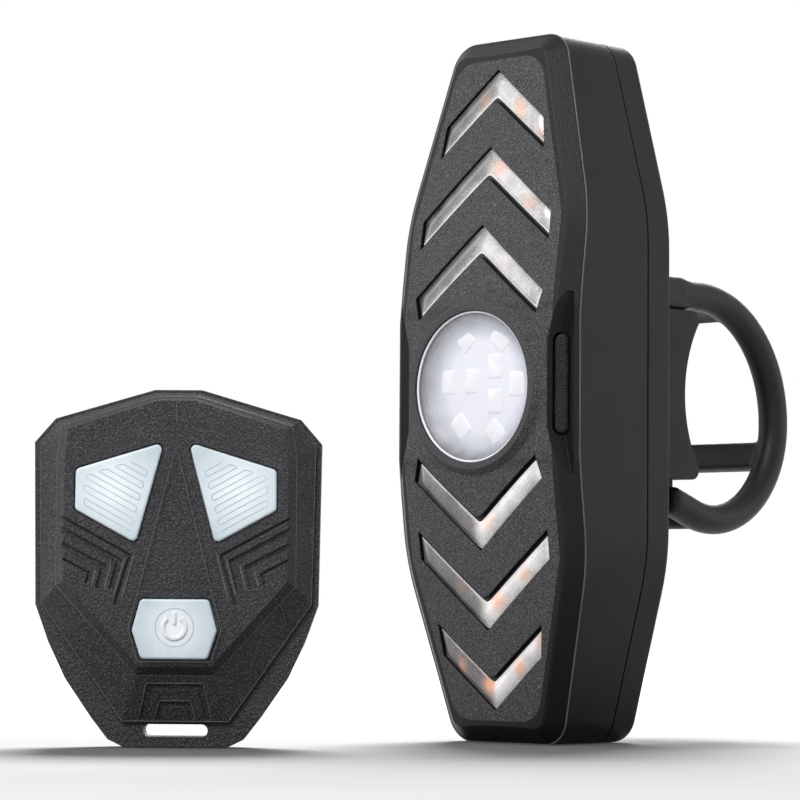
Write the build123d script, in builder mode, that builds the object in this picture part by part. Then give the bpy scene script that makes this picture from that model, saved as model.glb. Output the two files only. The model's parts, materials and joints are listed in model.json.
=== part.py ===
from build123d import *
import math
import os

os.makedirs("parts", exist_ok=True)

# Bicycle turn signal set: a tail lamp that straps to a seat post, and its hand remote.
# Millimetres, +Z up. The lamp stands on its narrow end with its front towards -Y,
# and the origin is the middle of the face it stands on.

# Lamp body
lamp_height = 117.4
lamp_width = 40.3
lamp_depth = 26.8
foot_to_front = 17.4
end_width = 23.8
shoulder_height = 28.5
shoulder_radius = 40.0
corner_radius = 5.0
wall = 2.0
parting_depth = 20.5
parting_groove = 0.35
back_edge_radius = 1.0

# Front face: a flat middle, two wings that lean back and a light crown across
flat_half_height = 12.6
wing_angle = 8.0
wing_blend_radius = 60.0
crown_radius = 154.0
rim_drop = 3.6
rim_angle = 7.0
bevel_angle = 49.0
cover_wall = 1.8
cover_side = 3.4
lip_depth = 1.5
lip_wall = 1.2

# Arrow windows: apexes, arms and ends
arrow_reach = 53.3
arrow_pitch = 13.15
arrow_band = 5.17
arrow_corner_shares = (0.541, 0.712, 0.707)
arrow_tip_shares = (0.576, 0.717, 0.650)
outer_arm_share = 0.82
inner_arm_share = 0.79
arrow_outer_radius = 0.5
arrow_inner_radius = 1.5
lens_recess = 0.7
lens_plate = 1.3
lens_plate_start = 11.0

# Round lens with its ring
lens_radius = 12.6
lens_crown = 1.3
lens_wall = 1.4
lens_flange_radius = 13.3
lens_flange = 0.9
ring_radius = 15.9
ring_top_radius = 13.7
ring_height = 0.7

# Waist recesses in both flanks of the front cover
waist_half_width = 14.4
waist_half_height = 7.5
recess_half_height = 16.8
recess_edge_half_width = 17.2
recess_slant = 24.0
recess_floor_inner = 4.2
recess_floor_outer = 2.9
recess_radius = 4.0
waist_cavity_half_width = 13.6
sump_wall = 1.4

# Power button in the right recess
button_length = 16.5
button_width = 2.6
button_rise = 0.9
button_angle = 36.0
button_place_x = 16.35
button_depth = 3.55
button_stem_length = 10.0
button_stem_width = 1.4
button_seat = 1.8
button_flange = 0.7
button_flange_place = 4.3
button_flange_edge = 0.6
button_travel = 0.6
switch_size = 4.2
switch_height = 1.5
switch_plunger_radius = 0.9

# Circuit board and what it carries
board_depth = 10.4
board_thickness = 1.6
board_edge_gap = 0.4
led_size = 3.5
led_height = 1.1
led_column_pitch = 5.2
led_row_pitch = 6.6
led_diagonal = 6.3
signal_led_width = 2.8
signal_led_length = 3.5
dish_radius = 13.1
dish_floor_radius = 11.8
dish_wall = 0.9
notch_reach = 3.1
chip_size = 7.0
chip_height = 1.0
radio_width = 9.0
radio_length = 12.0
radio_height = 1.9
component_offset = 34.0
ledge_width = 1.2
ledge_depth = 1.2

# Charging socket and its cover in the left flank
socket_width = 8.9
socket_height = 3.2
socket_length = 7.3
socket_wall = 0.35
port_cover_length = 15.0
port_cover_width = 6.4
port_cover_thickness = 1.2

# Battery
battery_width = 25.0
battery_length = 50.0
battery_thickness = 7.0
battery_gap = 0.5
pad_length = 8.0
pad_place = 18.0
lead_radius = 0.6
lead_pitch = 4.0
lead_bend = 1.5
lead_rise = 3.5

# Screws of the back cover
boss_radius = 2.8
boss_x = 12.0
boss_z = 40.5
screw_radius = 1.0
screw_head_radius = 1.9
screw_head_height = 1.3
screw_length = 8.0
screw_recess = 1.4
drive_radius = 0.8
gasket_edge = 0.7
gasket_width = 0.7
gasket_height = 0.75

# Bracket, pad and strap behind the lamp
saddle_width = 28.5
saddle_half_height = 14.4
saddle_low = 10.8
saddle_horn = 14.6
saddle_corner_radius = 1.8
pad_thickness = 1.2
pad_width = 26.0
pad_half_height = 12.4
hook_width = 18.0
hook_thickness = 3.0
hook_edge_radius = 0.7
upper_hook_place = 5.2
upper_hook_height = 21.2
upper_hook_lip = 2.9
lower_hook_place = 10.9
lower_hook_reach = 3.9
bracket_screw_z = 8.5
bracket_screw_radius = 1.5
bracket_screw_head_radius = 2.8
bracket_screw_head_height = 1.6
bracket_screw_length = 8.0
rail_radius = 2.25
rail_place = 12.0
strap_top = 17.4
strap_root_start = 1.0
strap_root_end = 12.0
strap_root_height = 4.3
upper_arc_start = 16.9
upper_arc_radius = 21.0
lower_arc_radius = 17.0
tail_angle = 20.0
tail_length = 6.4
rung_width = 4.3
rung_thickness = 3.0
rung_angle = 23.5
web_angle = 78.0
web_length = 7.4
strap_window_gap = 0.35
split_gap = 0.1

# Remote
view_angle = 44.0
remote_offset_x = -16.5
remote_offset_y = -50.7
remote_height = 56.5
remote_back_depth = 5.4
remote_rim_depth = 7.4
remote_slope_depth = 9.5
remote_plateau_depth = 10.9
remote_nose_height = 0.7
nose_taper = 45.0
remote_wall = 1.5
remote_floor = 1.5
remote_rim_step = 0.7
remote_back_edge = 0.9
cavity_start = 5.4
slot_length = 10.2
slot_width = 2.0
slot_height = 2.7
side_button_rise = 0.5
centre_button_rise = 0.4
key_flange = 0.7
key_flange_height = 0.6
key_corner_radius = 0.8
key_edge_radius = 0.35
membrane_thickness = 0.5
membrane_place = 7.35
remote_board_thickness = 1.0
remote_board_place = 6.3
key_switch_size = 3.6
key_switch_height = 0.7
key_led_size = 1.6
key_led_height = 0.5
key_led_offset = 3.6
cell_radius = 10.0
cell_thickness = 3.2
door_radius = 12.6
door_thickness = 1.4
door_height = 29.5
door_hub_radius = 10.7
door_seat_radius = 14.2
door_seat_height = 0.8
lug_reach = 1.2
lug_height = 0.6
lug_length = 5.0
lug_count = 3
door_turn = 40.0
coin_slot_length = 12.0
coin_slot_width = 1.8
coin_slot_depth = 0.7
seal_radius = 0.35
seal_sides = 8
clip_thickness = 0.3
clip_width = 4.0
remote_screw_radius = 0.8
remote_screw_head_radius = 1.5
remote_screw_head_height = 0.8
remote_screw_length = 4.2
remote_boss_radius = 2.0
remote_boss_shares = ((0.186, 0.895), (0.221, 0.310))
groove_width = 0.9
groove_line_width = 0.4
groove_depth = 0.5
foot_groove_width = 0.95
foot_groove_depth = 0.3

# Clearances shared by many pieces
seat_gap = 0.1
slide_gap = 0.25
touch_gap = 0.05
cut_over = 20.0

# Outline points of the remote as shares of its height, from the middle line outwards
remote_outline_shares = ((0.066, 1.0), (0.344, 0.918), (0.402, 0.851), (0.395, 0.398), (0.358, 0.294),
                         (0.311, 0.193), (0.237, 0.085), (0.189, 0.023), (0.142, 0.0))
remote_inner_shares = ((0.062, 0.989), (0.334, 0.908), (0.386, 0.848), (0.377, 0.402), (0.149, 0.074))
remote_slope_shares = ((0.057, 0.977), (0.320, 0.896), (0.334, 0.807), (0.334, 0.451), (0.108, 0.202))
remote_plateau_shares = ((0.051, 0.966), (0.301, 0.887), (0.311, 0.807), (0.311, 0.462), (0.101, 0.227))
side_key_shares = ((0.279, 0.774), (0.034, 0.850), (0.110, 0.568), (0.280, 0.662))
centre_key_shares = ((0.095, 0.414), (0.118, 0.327), (0.092, 0.248))
nose_shares = ((0.0, 0.890), (0.142, 0.329), (0.110, 0.229))
cheek_line_shares = (((0.321, 0.642), (0.127, 0.536), (0.168, 0.400)),
                     ((0.312, 0.524), (0.239, 0.485), (0.248, 0.457)))
cheek_groove_shares = (((0.320, 0.607), (0.157, 0.519), (0.177, 0.441)),
                       ((0.317, 0.564), (0.200, 0.503), (0.214, 0.442)))
foot_groove_shares = (((0.093, 0.004), (0.071, 0.101), (-0.071, 0.101), (-0.093, 0.004)),
                      ((0.049, 0.004), (0.036, 0.050), (-0.036, 0.050), (-0.049, 0.004)))

# Values worked out from the sizes above
middle = lamp_height / 2
front = -foot_to_front
back = front + lamp_depth
half_width = lamp_width / 2
half_end = end_width / 2
board_back = board_depth + board_thickness


def behind(depth):
    """Plane across the lamp, a depth behind the middle of its front face, at mid height."""
    return Plane(origin=(0, front + depth, middle), x_dir=(1, 0, 0), z_dir=(0, -1, 0))


def flank(side, x):
    """Plane along a side wall at a distance from the middle, facing out."""
    return Plane(origin=(side * x, 0, middle), x_dir=(0, side, 0), z_dir=(side, 0, 0))


def outline(inset=0, lean=0):
    """Front view of the body, drawn on a plane that leans back beyond the flat middle."""
    def up(height):
        extra = (height - flat_half_height) / math.cos(math.radians(lean))
        return flat_half_height + extra
    with BuildSketch() as drawing:
        with BuildLine():
            FilletPolyline(
                (half_end, up(middle)), (half_width, up(shoulder_height)),
                (half_width, -up(shoulder_height)), (half_end, -up(middle)),
                (-half_end, -up(middle)), (-half_width, -up(shoulder_height)),
                (-half_width, up(shoulder_height)), (-half_end, up(middle)), close=True,
                radius=[corner_radius, shoulder_radius, shoulder_radius, corner_radius] * 2)
        make_face()
        if inset:
            offset(amount=-inset, kind=Kind.INTERSECTION)
    return drawing.sketch


def front_air(depth):
    """Everything before the crowned front surface, moved back by a depth."""
    reach = middle + foot_to_front
    rise = (reach - flat_half_height) * math.tan(math.radians(wing_angle))
    start = front + depth
    sagitta = crown_radius - math.sqrt(crown_radius ** 2 - lamp_width ** 2)
    with BuildPart() as air:
        with BuildLine() as path:
            FilletPolyline(
                (0, start + rise, middle - reach), (0, start, middle - flat_half_height),
                (0, start, middle + flat_half_height), (0, start + rise, middle + reach),
                radius=wing_blend_radius)
        with BuildSketch(Plane(origin=path.line @ 0, x_dir=(1, 0, 0), z_dir=path.line % 0)):
            with BuildLine():
                ThreePointArc((-lamp_width, sagitta), (0, 0), (lamp_width, sagitta))
                Polyline((lamp_width, sagitta), (lamp_width, -lamp_depth),
                         (-lamp_width, -lamp_depth), (-lamp_width, sagitta))
            make_face()
        sweep(path=path.line)
    return air.part


def rim_air(depth):
    """Everything before the three planes on which the front cover's rim lies."""
    reach = middle + foot_to_front
    start = front + rim_drop + depth
    rise = (reach - flat_half_height) * math.tan(math.radians(rim_angle))
    with BuildPart() as air:
        with BuildSketch(Plane(origin=(lamp_width, 0, middle), x_dir=(0, 1, 0), z_dir=(1, 0, 0))):
            with BuildLine():
                Polyline((start + rise, -reach), (start, -flat_half_height), (start, flat_half_height),
                         (start + rise, reach), (start - lamp_depth, reach),
                         (start - lamp_depth, -reach), close=True)
            make_face()
        extrude(amount=-2 * lamp_width)
    return air.part


def wing_zone():
    """Bevelled block of the cover's lower wing, on the rim plane that leans back."""
    tilt = math.radians(rim_angle)
    plane = Plane(origin=(0, front + rim_drop, middle - flat_half_height), x_dir=(1, 0, 0),
                  z_dir=(0, -math.cos(tilt), -math.sin(tilt)))
    with BuildPart() as zone:
        with BuildSketch(plane):
            with Locations((0, flat_half_height)):
                add(outline(lean=rim_angle))
        extrude(amount=rim_drop + ring_height, taper=bevel_angle)
        split(bisect_by=Plane(origin=(0, 0, middle - flat_half_height), z_dir=(0, 0, 1)), keep=Keep.BOTTOM)
    return zone.part


def middle_zone():
    """Bevelled block of the cover between its wings."""
    with BuildPart() as zone:
        with BuildSketch(behind(rim_drop)):
            add(outline())
        extrude(amount=rim_drop + ring_height, taper=bevel_angle)
        with Locations((0, front, middle)):
            Box(lamp_width * 2, lamp_depth * 2, flat_half_height * 2, mode=Mode.INTERSECT)
    return zone.part


def arrow(index, side, grow=0):
    """One arrow-shaped window seen from the front, pointing up or down."""
    apex = arrow_reach - index * arrow_pitch
    inner = apex - arrow_band
    corner = arrow_corner_shares[index] * half_width
    tip = arrow_tip_shares[index] * half_width
    corner_z = apex - outer_arm_share * corner
    tip_z = inner - inner_arm_share * tip
    with BuildSketch() as drawing:
        with BuildLine():
            Polyline((0, side * apex), (corner, side * corner_z), (tip, side * tip_z), (0, side * inner),
                     (-tip, side * tip_z), (-corner, side * corner_z), close=True)
        make_face()
        inner_corner = drawing.vertices().sort_by_distance((0, side * inner))[0]
        others = [v for v in drawing.vertices() if v != inner_corner]
        fillet(inner_corner, radius=arrow_inner_radius)
        fillet(others, radius=arrow_outer_radius)
        if grow:
            offset(amount=grow)
    return drawing.sketch


def recess_drawing(grow=0):
    """Region of the right flank that the waist recess takes away, in front view."""
    far = half_width + cut_over
    with BuildSketch() as drawing:
        with BuildLine():
            FilletPolyline(
                (recess_edge_half_width - grow, recess_half_height + grow),
                (waist_half_width - grow, waist_half_height + grow),
                (waist_half_width - grow, -waist_half_height - grow),
                (recess_edge_half_width - grow, -recess_half_height - grow),
                radius=recess_radius)
            Polyline((recess_edge_half_width - grow, -recess_half_height - grow),
                     (far, -recess_half_height - grow), (far, recess_half_height + grow),
                     (recess_edge_half_width - grow, recess_half_height + grow))
        make_face()
    return drawing.sketch


def recess_cut(side):
    """Slant-walled cut for the waist recess, with a floor that rises towards the rim."""
    with BuildPart() as cut:
        with BuildSketch(behind(-ring_height * 2)):
            add(recess_drawing())
        extrude(amount=-(recess_floor_inner + ring_height * 2) * 2, taper=recess_slant)
        run = half_width - waist_half_width
        slope = (recess_floor_inner - recess_floor_outer) / run
        with BuildSketch(Plane.XY):
            with BuildLine():
                Polyline((0, front + recess_floor_inner + slope * waist_half_width),
                         (half_width + cut_over, front + recess_floor_outer - slope * cut_over),
                         (half_width + cut_over, front - cut_over), (0, front - cut_over), close=True)
            make_face()
        extrude(amount=lamp_height, mode=Mode.INTERSECT)
        if side < 0:
            mirror(about=Plane.YZ, mode=Mode.REPLACE)
    return cut.part


def button_plane(lift=0):
    """Plane of the power button's face in the right recess; x runs up the flank."""
    turn = math.radians(button_angle)
    out = Vector(math.sin(turn), -math.cos(turn), 0)
    place = Vector(button_place_x, front + button_depth, middle) + out * lift
    return Plane(origin=place, x_dir=(0, 0, 1), z_dir=out)


def pill(length, width, plane, height):
    """Round-ended bar that stands on a plane."""
    with BuildPart() as bar:
        with BuildSketch(plane):
            SlotOverall(length, width)
        extrude(amount=height)
    return bar.part


def boss_places():
    return [(x * boss_x, z * boss_z) for x in (-1, 1) for z in (-1, 1)]


def screw(radius, head_radius, head_height, length, plane):
    """Pan-head screw with a hexagon drive: its head stands on the plane, its shank goes below."""
    with BuildPart() as body:
        with BuildSketch(plane):
            Circle(head_radius)
        extrude(amount=head_height)
        with BuildSketch(plane):
            Circle(radius)
        extrude(amount=-length)
        with BuildSketch(plane.offset(head_height)):
            RegularPolygon(radius=drive_radius, side_count=6)
        extrude(amount=-head_height / 2, mode=Mode.SUBTRACT)
    return body.part


# Front cover: bevelled plate with arrow windows, lens ring and waist recesses
sump_back = recess_floor_inner + sump_wall
waist_reach = recess_half_height + cover_wall
flange_front = cover_wall + lens_flange_radius ** 2 / (2 * crown_radius)


def cavity_drawing(gap=0):
    """Front view of the hollow behind the front cover, narrower at the waist."""
    with BuildSketch() as drawing:
        add(outline(cover_side + gap))
        for side in (-1, 1):
            with Locations((side * (waist_cavity_half_width + half_width) / 2, 0)):
                Rectangle(half_width - waist_cavity_half_width + gap * 2, 2 * (waist_reach + gap),
                          mode=Mode.SUBTRACT)
    return drawing.sketch


with BuildPart() as cavity:
    with BuildSketch(behind(lamp_depth)):
        add(cavity_drawing())
    extrude(amount=lamp_depth + ring_height)
    add(front_air(cover_wall), mode=Mode.SUBTRACT)
    with BuildSketch(behind(lamp_depth)):
        Circle(lens_flange_radius + seat_gap)
    extrude(amount=lamp_depth - flange_front)

with BuildPart() as cover_lip:
    with BuildSketch(behind(board_depth - seat_gap)):
        add(outline(wall + seat_gap))
        add(outline(wall + seat_gap + lip_wall), mode=Mode.SUBTRACT)
    extrude(amount=board_depth)
    add(rim_air(lip_depth), mode=Mode.INTERSECT)
    add(rim_air(0), mode=Mode.SUBTRACT)

with BuildPart() as sumps:
    with BuildSketch(behind(sump_back)):
        add(outline(wall + seat_gap))
        Rectangle(2 * waist_cavity_half_width, lamp_height, mode=Mode.SUBTRACT)
        Rectangle(lamp_width, 2 * waist_reach, mode=Mode.INTERSECT)
    extrude(amount=sump_back - cover_wall)
    add(rim_air(0), mode=Mode.SUBTRACT)

with BuildPart() as windows:
    with BuildSketch(behind(lamp_depth)):
        for index in range(len(arrow_tip_shares)):
            for side in (-1, 1):
                add(arrow(index, side))
        Circle(lens_radius)
    extrude(amount=lamp_depth + ring_height * 2)

with BuildPart() as front_cover:
    add(wing_zone())
    mirror(about=Plane(origin=(0, 0, middle), z_dir=(0, 0, 1)))
    add(middle_zone())
    add(front_air(0), mode=Mode.SUBTRACT)
    with BuildSketch(behind(cover_wall)):
        Circle(ring_radius)
    ring_taper = math.degrees(math.atan2(ring_radius - ring_top_radius, cover_wall + ring_height))
    extrude(amount=cover_wall + ring_height, taper=ring_taper)
    add(cavity.part, mode=Mode.SUBTRACT)
    add(cover_lip.part)
    add(sumps.part)
    for side in (-1, 1):
        add(recess_cut(side), mode=Mode.SUBTRACT)
    add(windows.part, mode=Mode.SUBTRACT)
    add(pill(button_length + seat_gap * 2, button_width + seat_gap * 2, button_plane(-button_seat),
             button_seat + cover_side), mode=Mode.SUBTRACT)
    add(pill(button_stem_length + seat_gap * 2, button_stem_width + seat_gap * 2,
             button_plane(-cover_side * 2), cover_side * 2), mode=Mode.SUBTRACT)
front_cover.part.label = "front_cover"
export_step(front_cover.part, "parts/front_cover.step")

# Main housing: the deep ring of the body, with screw bosses and a ledge for the board
socket_depth = board_back + socket_height / 2
port_plane = flank(-1, half_width)
with BuildPart() as main_housing:
    with BuildSketch(behind(parting_depth)):
        add(outline())
        add(outline(wall), mode=Mode.SUBTRACT)
    extrude(amount=parting_depth + ring_height)
    with BuildSketch(behind(board_back + ledge_depth)):
        add(outline(wall))
        add(outline(wall + ledge_width), mode=Mode.SUBTRACT)
        with Locations((-half_width, 0)):
            Rectangle(half_width, socket_width + wall, mode=Mode.SUBTRACT)
    extrude(amount=ledge_depth)
    with BuildSketch(behind(parting_depth)):
        with Locations(*boss_places()):
            Circle(boss_radius)
        with Locations(*boss_places()):
            Circle(screw_radius, mode=Mode.SUBTRACT)
    extrude(amount=parting_depth - board_back)
    add(rim_air(0), mode=Mode.SUBTRACT)
    with BuildSketch(port_plane):
        with Locations((-(front + socket_depth), 0)):
            SlotOverall(port_cover_length + slide_gap * 2, port_cover_width + slide_gap * 2, rotation=90)
    extrude(amount=-port_cover_thickness - touch_gap, mode=Mode.SUBTRACT)
    with BuildSketch(port_plane):
        with Locations((-(front + socket_depth), 0)):
            SlotOverall(socket_width + seat_gap * 2, socket_height + seat_gap * 2, rotation=90)
    extrude(amount=-wall - touch_gap, mode=Mode.SUBTRACT)
main_housing.part.label = "main_housing"
export_step(main_housing.part, "parts/main_housing.step")

# Signal lenses: a plate behind each wing with three ridged arrows that fill the windows
for side, name in ((1, "upper_signal_lens"), (-1, "lower_signal_lens")):
    with BuildPart() as plate:
        with BuildSketch(behind(lamp_depth)):
            add(cavity_drawing(seat_gap))
            with Locations((0, side * (lens_plate_start + middle / 2))):
                Rectangle(lamp_width, middle, mode=Mode.INTERSECT)
            Circle(lens_flange_radius + seat_gap, mode=Mode.SUBTRACT)
        extrude(amount=lamp_depth)
        add(front_air(cover_wall + touch_gap), mode=Mode.SUBTRACT)
        add(front_air(cover_wall + touch_gap + lens_plate), mode=Mode.INTERSECT)
    with BuildPart() as signal_lens:
        with BuildSketch(behind(lamp_depth)):
            for index in range(len(arrow_tip_shares)):
                add(arrow(index, side, -seat_gap))
        extrude(amount=lamp_depth)
        add(front_air(lens_recess), mode=Mode.SUBTRACT)
        add(front_air(cover_wall + lens_plate), mode=Mode.INTERSECT)
        add(plate.part)
    signal_lens.part.label = name
    export_step(signal_lens.part, "parts/" + name + ".step")

# Round lens: a clear dome with a flange behind the cover
with BuildPart() as centre_lens:
    with BuildSketch(Plane(origin=(0, front, middle), x_dir=(1, 0, 0), z_dir=(0, 0, 1))):
        with BuildLine():
            edge = lens_radius - seat_gap
            sphere = (edge ** 2 + lens_crown ** 2) / (2 * lens_crown)
            hollow = edge - lens_wall
            hollow_crown = sphere - math.sqrt(sphere ** 2 - hollow ** 2)
            Polyline((0, -lens_crown), (0, lens_wall - lens_crown))
            RadiusArc((0, lens_wall - lens_crown), (hollow, lens_wall - lens_crown + hollow_crown),
                      -sphere)
            Polyline((hollow, lens_wall - lens_crown + hollow_crown), (hollow, flange_front + lens_flange),
                     (lens_flange_radius, flange_front + lens_flange), (lens_flange_radius, flange_front),
                     (edge, flange_front), (edge, 0))
            RadiusArc((edge, 0), (0, -lens_crown), sphere)
        make_face()
    revolve(axis=Axis((0, 0, middle), (0, 1, 0)))
centre_lens.part.label = "centre_lens"
export_step(centre_lens.part, "parts/centre_lens.step")

# Places of the round lamp's light packages: a row of three, two more and four turned ones
centre_places = [(0, 0, 0)]
centre_places += [(side * led_column_pitch, 0, 0) for side in (-1, 1)]
centre_places += [(0, side * led_row_pitch, 0) for side in (-1, 1)]
centre_places += [(x * led_diagonal, z * led_diagonal, 45) for x in (-1, 1) for z in (-1, 1)]

# White dish behind the round lens, with a hole for every light package
dish_start = flange_front + lens_flange + touch_gap
dish_end = board_depth - led_height / 2
with BuildPart() as centre_reflector:
    with BuildSketch(behind(dish_end)):
        Circle(dish_radius)
    extrude(amount=dish_end - dish_start)
    with BuildSketch(behind(dish_start)):
        Circle(dish_radius - dish_wall)
    lean = math.degrees(math.atan2(dish_radius - dish_wall - dish_floor_radius, dish_end - dish_start))
    extrude(amount=-(dish_end - dish_start - dish_wall), taper=lean, mode=Mode.SUBTRACT)
    with BuildSketch(behind(dish_end)):
        for x, z, turn in centre_places:
            with Locations((x, z)):
                Rectangle(led_size + slide_gap * 2, led_size + slide_gap * 2, rotation=turn)
    extrude(amount=dish_wall, mode=Mode.SUBTRACT)
    notch_start = board_depth - switch_height - button_flange_place
    with BuildSketch(behind(dish_end)):
        with Locations((dish_radius, 0)):
            Rectangle(notch_reach * 2, button_stem_length + button_flange_edge * 2 + slide_gap * 4)
    extrude(amount=dish_end - notch_start, mode=Mode.SUBTRACT)
centre_reflector.part.label = "centre_reflector"
export_step(centre_reflector.part, "parts/centre_reflector.step")

# Circuit board with its light packages, chip, receiver, switch and socket
with BuildPart() as lamp_board:
    with BuildSketch(behind(board_back)):
        add(outline(wall + board_edge_gap))
    extrude(amount=board_thickness)
lamp_board.part.label = "lamp_board"
export_step(lamp_board.part, "parts/lamp_board.step")

with BuildPart() as centre_leds:
    with BuildSketch(behind(board_depth)):
        for x, z, turn in centre_places:
            with Locations((x, z)):
                Rectangle(led_size, led_size, rotation=turn)
    extrude(amount=led_height)
centre_leds.part.label = "centre_leds"
export_step(centre_leds.part, "parts/centre_leds.step")

with BuildPart() as signal_leds:
    with BuildSketch(behind(board_depth)):
        for index in range(len(arrow_tip_shares)):
            apex = arrow_reach - index * arrow_pitch - arrow_band / 2
            arm = arrow_corner_shares[index] * half_width * 2 / 3
            for side in (-1, 1):
                with Locations((0, side * apex), (arm, side * (apex - outer_arm_share * arm)),
                               (-arm, side * (apex - outer_arm_share * arm))):
                    Rectangle(signal_led_width, signal_led_length)
    extrude(amount=led_height)
signal_leds.part.label = "signal_leds"
export_step(signal_leds.part, "parts/signal_leds.step")

with BuildPart() as controller_chip:
    with BuildSketch(behind(board_back)):
        with Locations((0, component_offset)):
            Rectangle(chip_size, chip_size)
    extrude(amount=-chip_height)
    chamfer(controller_chip.faces().sort_by(Axis.Y)[-1].edges(), length=chip_height / 4)
controller_chip.part.label = "controller_chip"
export_step(controller_chip.part, "parts/controller_chip.step")

with BuildPart() as radio_receiver:
    with BuildSketch(behind(board_back)):
        with Locations((0, -component_offset)):
            Rectangle(radio_width, radio_length)
    extrude(amount=-radio_height / 2)
    with BuildSketch(behind(board_back + radio_height / 2)):
        with Locations((0, -component_offset + radio_length / 8)):
            Rectangle(radio_width * 3 / 4, radio_length / 2)
    extrude(amount=-radio_height / 2)
radio_receiver.part.label = "radio_receiver"
export_step(radio_receiver.part, "parts/radio_receiver.step")

with BuildPart() as usb_socket:
    mouth = flank(-1, half_width - wall - touch_gap)
    with BuildSketch(mouth):
        with Locations((-(front + socket_depth), 0)):
            SlotOverall(socket_width, socket_height, rotation=90)
    extrude(amount=-socket_length)
    with BuildSketch(mouth):
        with Locations((-(front + socket_depth), 0)):
            SlotOverall(socket_width - socket_wall * 2, socket_height - socket_wall * 2, rotation=90)
    extrude(amount=-socket_length + socket_wall * 2, mode=Mode.SUBTRACT)
    with BuildSketch(mouth.offset(-socket_length)):
        with Locations((-(front + socket_depth), 0)):
            Rectangle(socket_wall * 2, socket_width * 2 / 3)
    extrude(amount=socket_length - socket_height / 2)
usb_socket.part.label = "usb_socket"
export_step(usb_socket.part, "parts/usb_socket.step")

# Rubber cover of the socket, flush in the left wall, with a plug that enters the hole
with BuildPart() as port_cover:
    with BuildSketch(port_plane):
        with Locations((-(front + socket_depth), 0)):
            SlotOverall(port_cover_length, port_cover_width, rotation=90)
    extrude(amount=-port_cover_thickness)
    with BuildSketch(port_plane.offset(-port_cover_thickness)):
        with Locations((-(front + socket_depth), 0)):
            SlotOverall(socket_width - slide_gap * 2, socket_height - slide_gap * 2, rotation=90)
    extrude(amount=-(wall - port_cover_thickness - touch_gap))
port_cover.part.label = "port_cover"
export_step(port_cover.part, "parts/port_cover.step")

# Power button: a domed pill with a stem that reaches the switch on the board
with BuildPart() as button_pill:
    with BuildSketch(button_plane(-button_seat + button_travel + touch_gap)):
        SlotOverall(button_length, button_width)
    extrude(amount=button_seat - button_travel - touch_gap + button_rise)
    fillet(button_pill.faces().sort_by(Axis(origin=(0, 0, 0), direction=button_plane().z_dir))[-1].edges(),
           radius=button_rise * 4 / 5)
button_turn = math.radians(button_angle)
switch_front = board_depth - switch_height
stem_tip = button_stem_width / 2 * math.sin(button_turn)
stem_reach = (switch_front - stem_tip - button_depth) / math.cos(button_turn) - button_travel - slide_gap
with BuildPart() as power_button:
    add(button_pill.part)
    add(pill(button_stem_length, button_stem_width, button_plane(-stem_reach), stem_reach))
    add(pill(button_stem_length + button_flange_edge * 2, button_stem_width + button_flange_edge * 2,
             button_plane(-button_flange_place - button_travel), button_flange))
power_button.part.label = "power_button"
export_step(power_button.part, "parts/power_button.step")

switch_x = button_place_x - math.tan(button_turn) * (switch_front - button_depth)
with BuildPart() as power_switch:
    with BuildSketch(behind(board_depth)):
        with Locations((switch_x, 0)):
            RectangleRounded(switch_size, switch_size, switch_plunger_radius / 2)
    extrude(amount=switch_height)
power_switch.part.label = "power_switch"
export_step(power_switch.part, "parts/power_switch.step")

# Battery, its foam pads and its leads
battery_front = socket_depth + socket_height / 2 + battery_gap
battery_back = battery_front + battery_thickness
with BuildPart() as battery:
    with BuildSketch(behind(battery_back)):
        Rectangle(battery_width, battery_length)
    extrude(amount=battery_thickness)
    fillet(battery.edges().filter_by(Axis.Z), radius=battery_thickness * 2 / 5)
battery.part.label = "battery"
export_step(battery.part, "parts/battery.step")

inner_back = lamp_depth - wall
with BuildPart() as battery_pads:
    with BuildSketch(behind(inner_back)):
        with Locations((0, pad_place), (0, -pad_place)):
            Rectangle(battery_width * 3 / 4, pad_length)
    extrude(amount=inner_back - battery_back)
battery_pads.part.label = "battery_pads"
export_step(battery_pads.part, "parts/battery_pads.step")

with BuildPart() as battery_leads:
    for side in (-1, 1):
        lead_top = middle + battery_length / 2
        lead_y = front + (battery_front + battery_back) / 2
        with BuildLine() as lead_path:
            FilletPolyline((side * lead_pitch / 2, lead_y, lead_top),
                           (side * lead_pitch / 2, lead_y, lead_top + lead_rise),
                           (side * lead_pitch / 2, front + board_back, lead_top + lead_rise),
                           radius=lead_bend)
        with BuildSketch(Plane(origin=lead_path.line @ 0, z_dir=lead_path.line % 0)):
            Circle(lead_radius)
        sweep(path=lead_path.line)
battery_leads.part.label = "battery_leads"
export_step(battery_leads.part, "parts/battery_leads.step")

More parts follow.
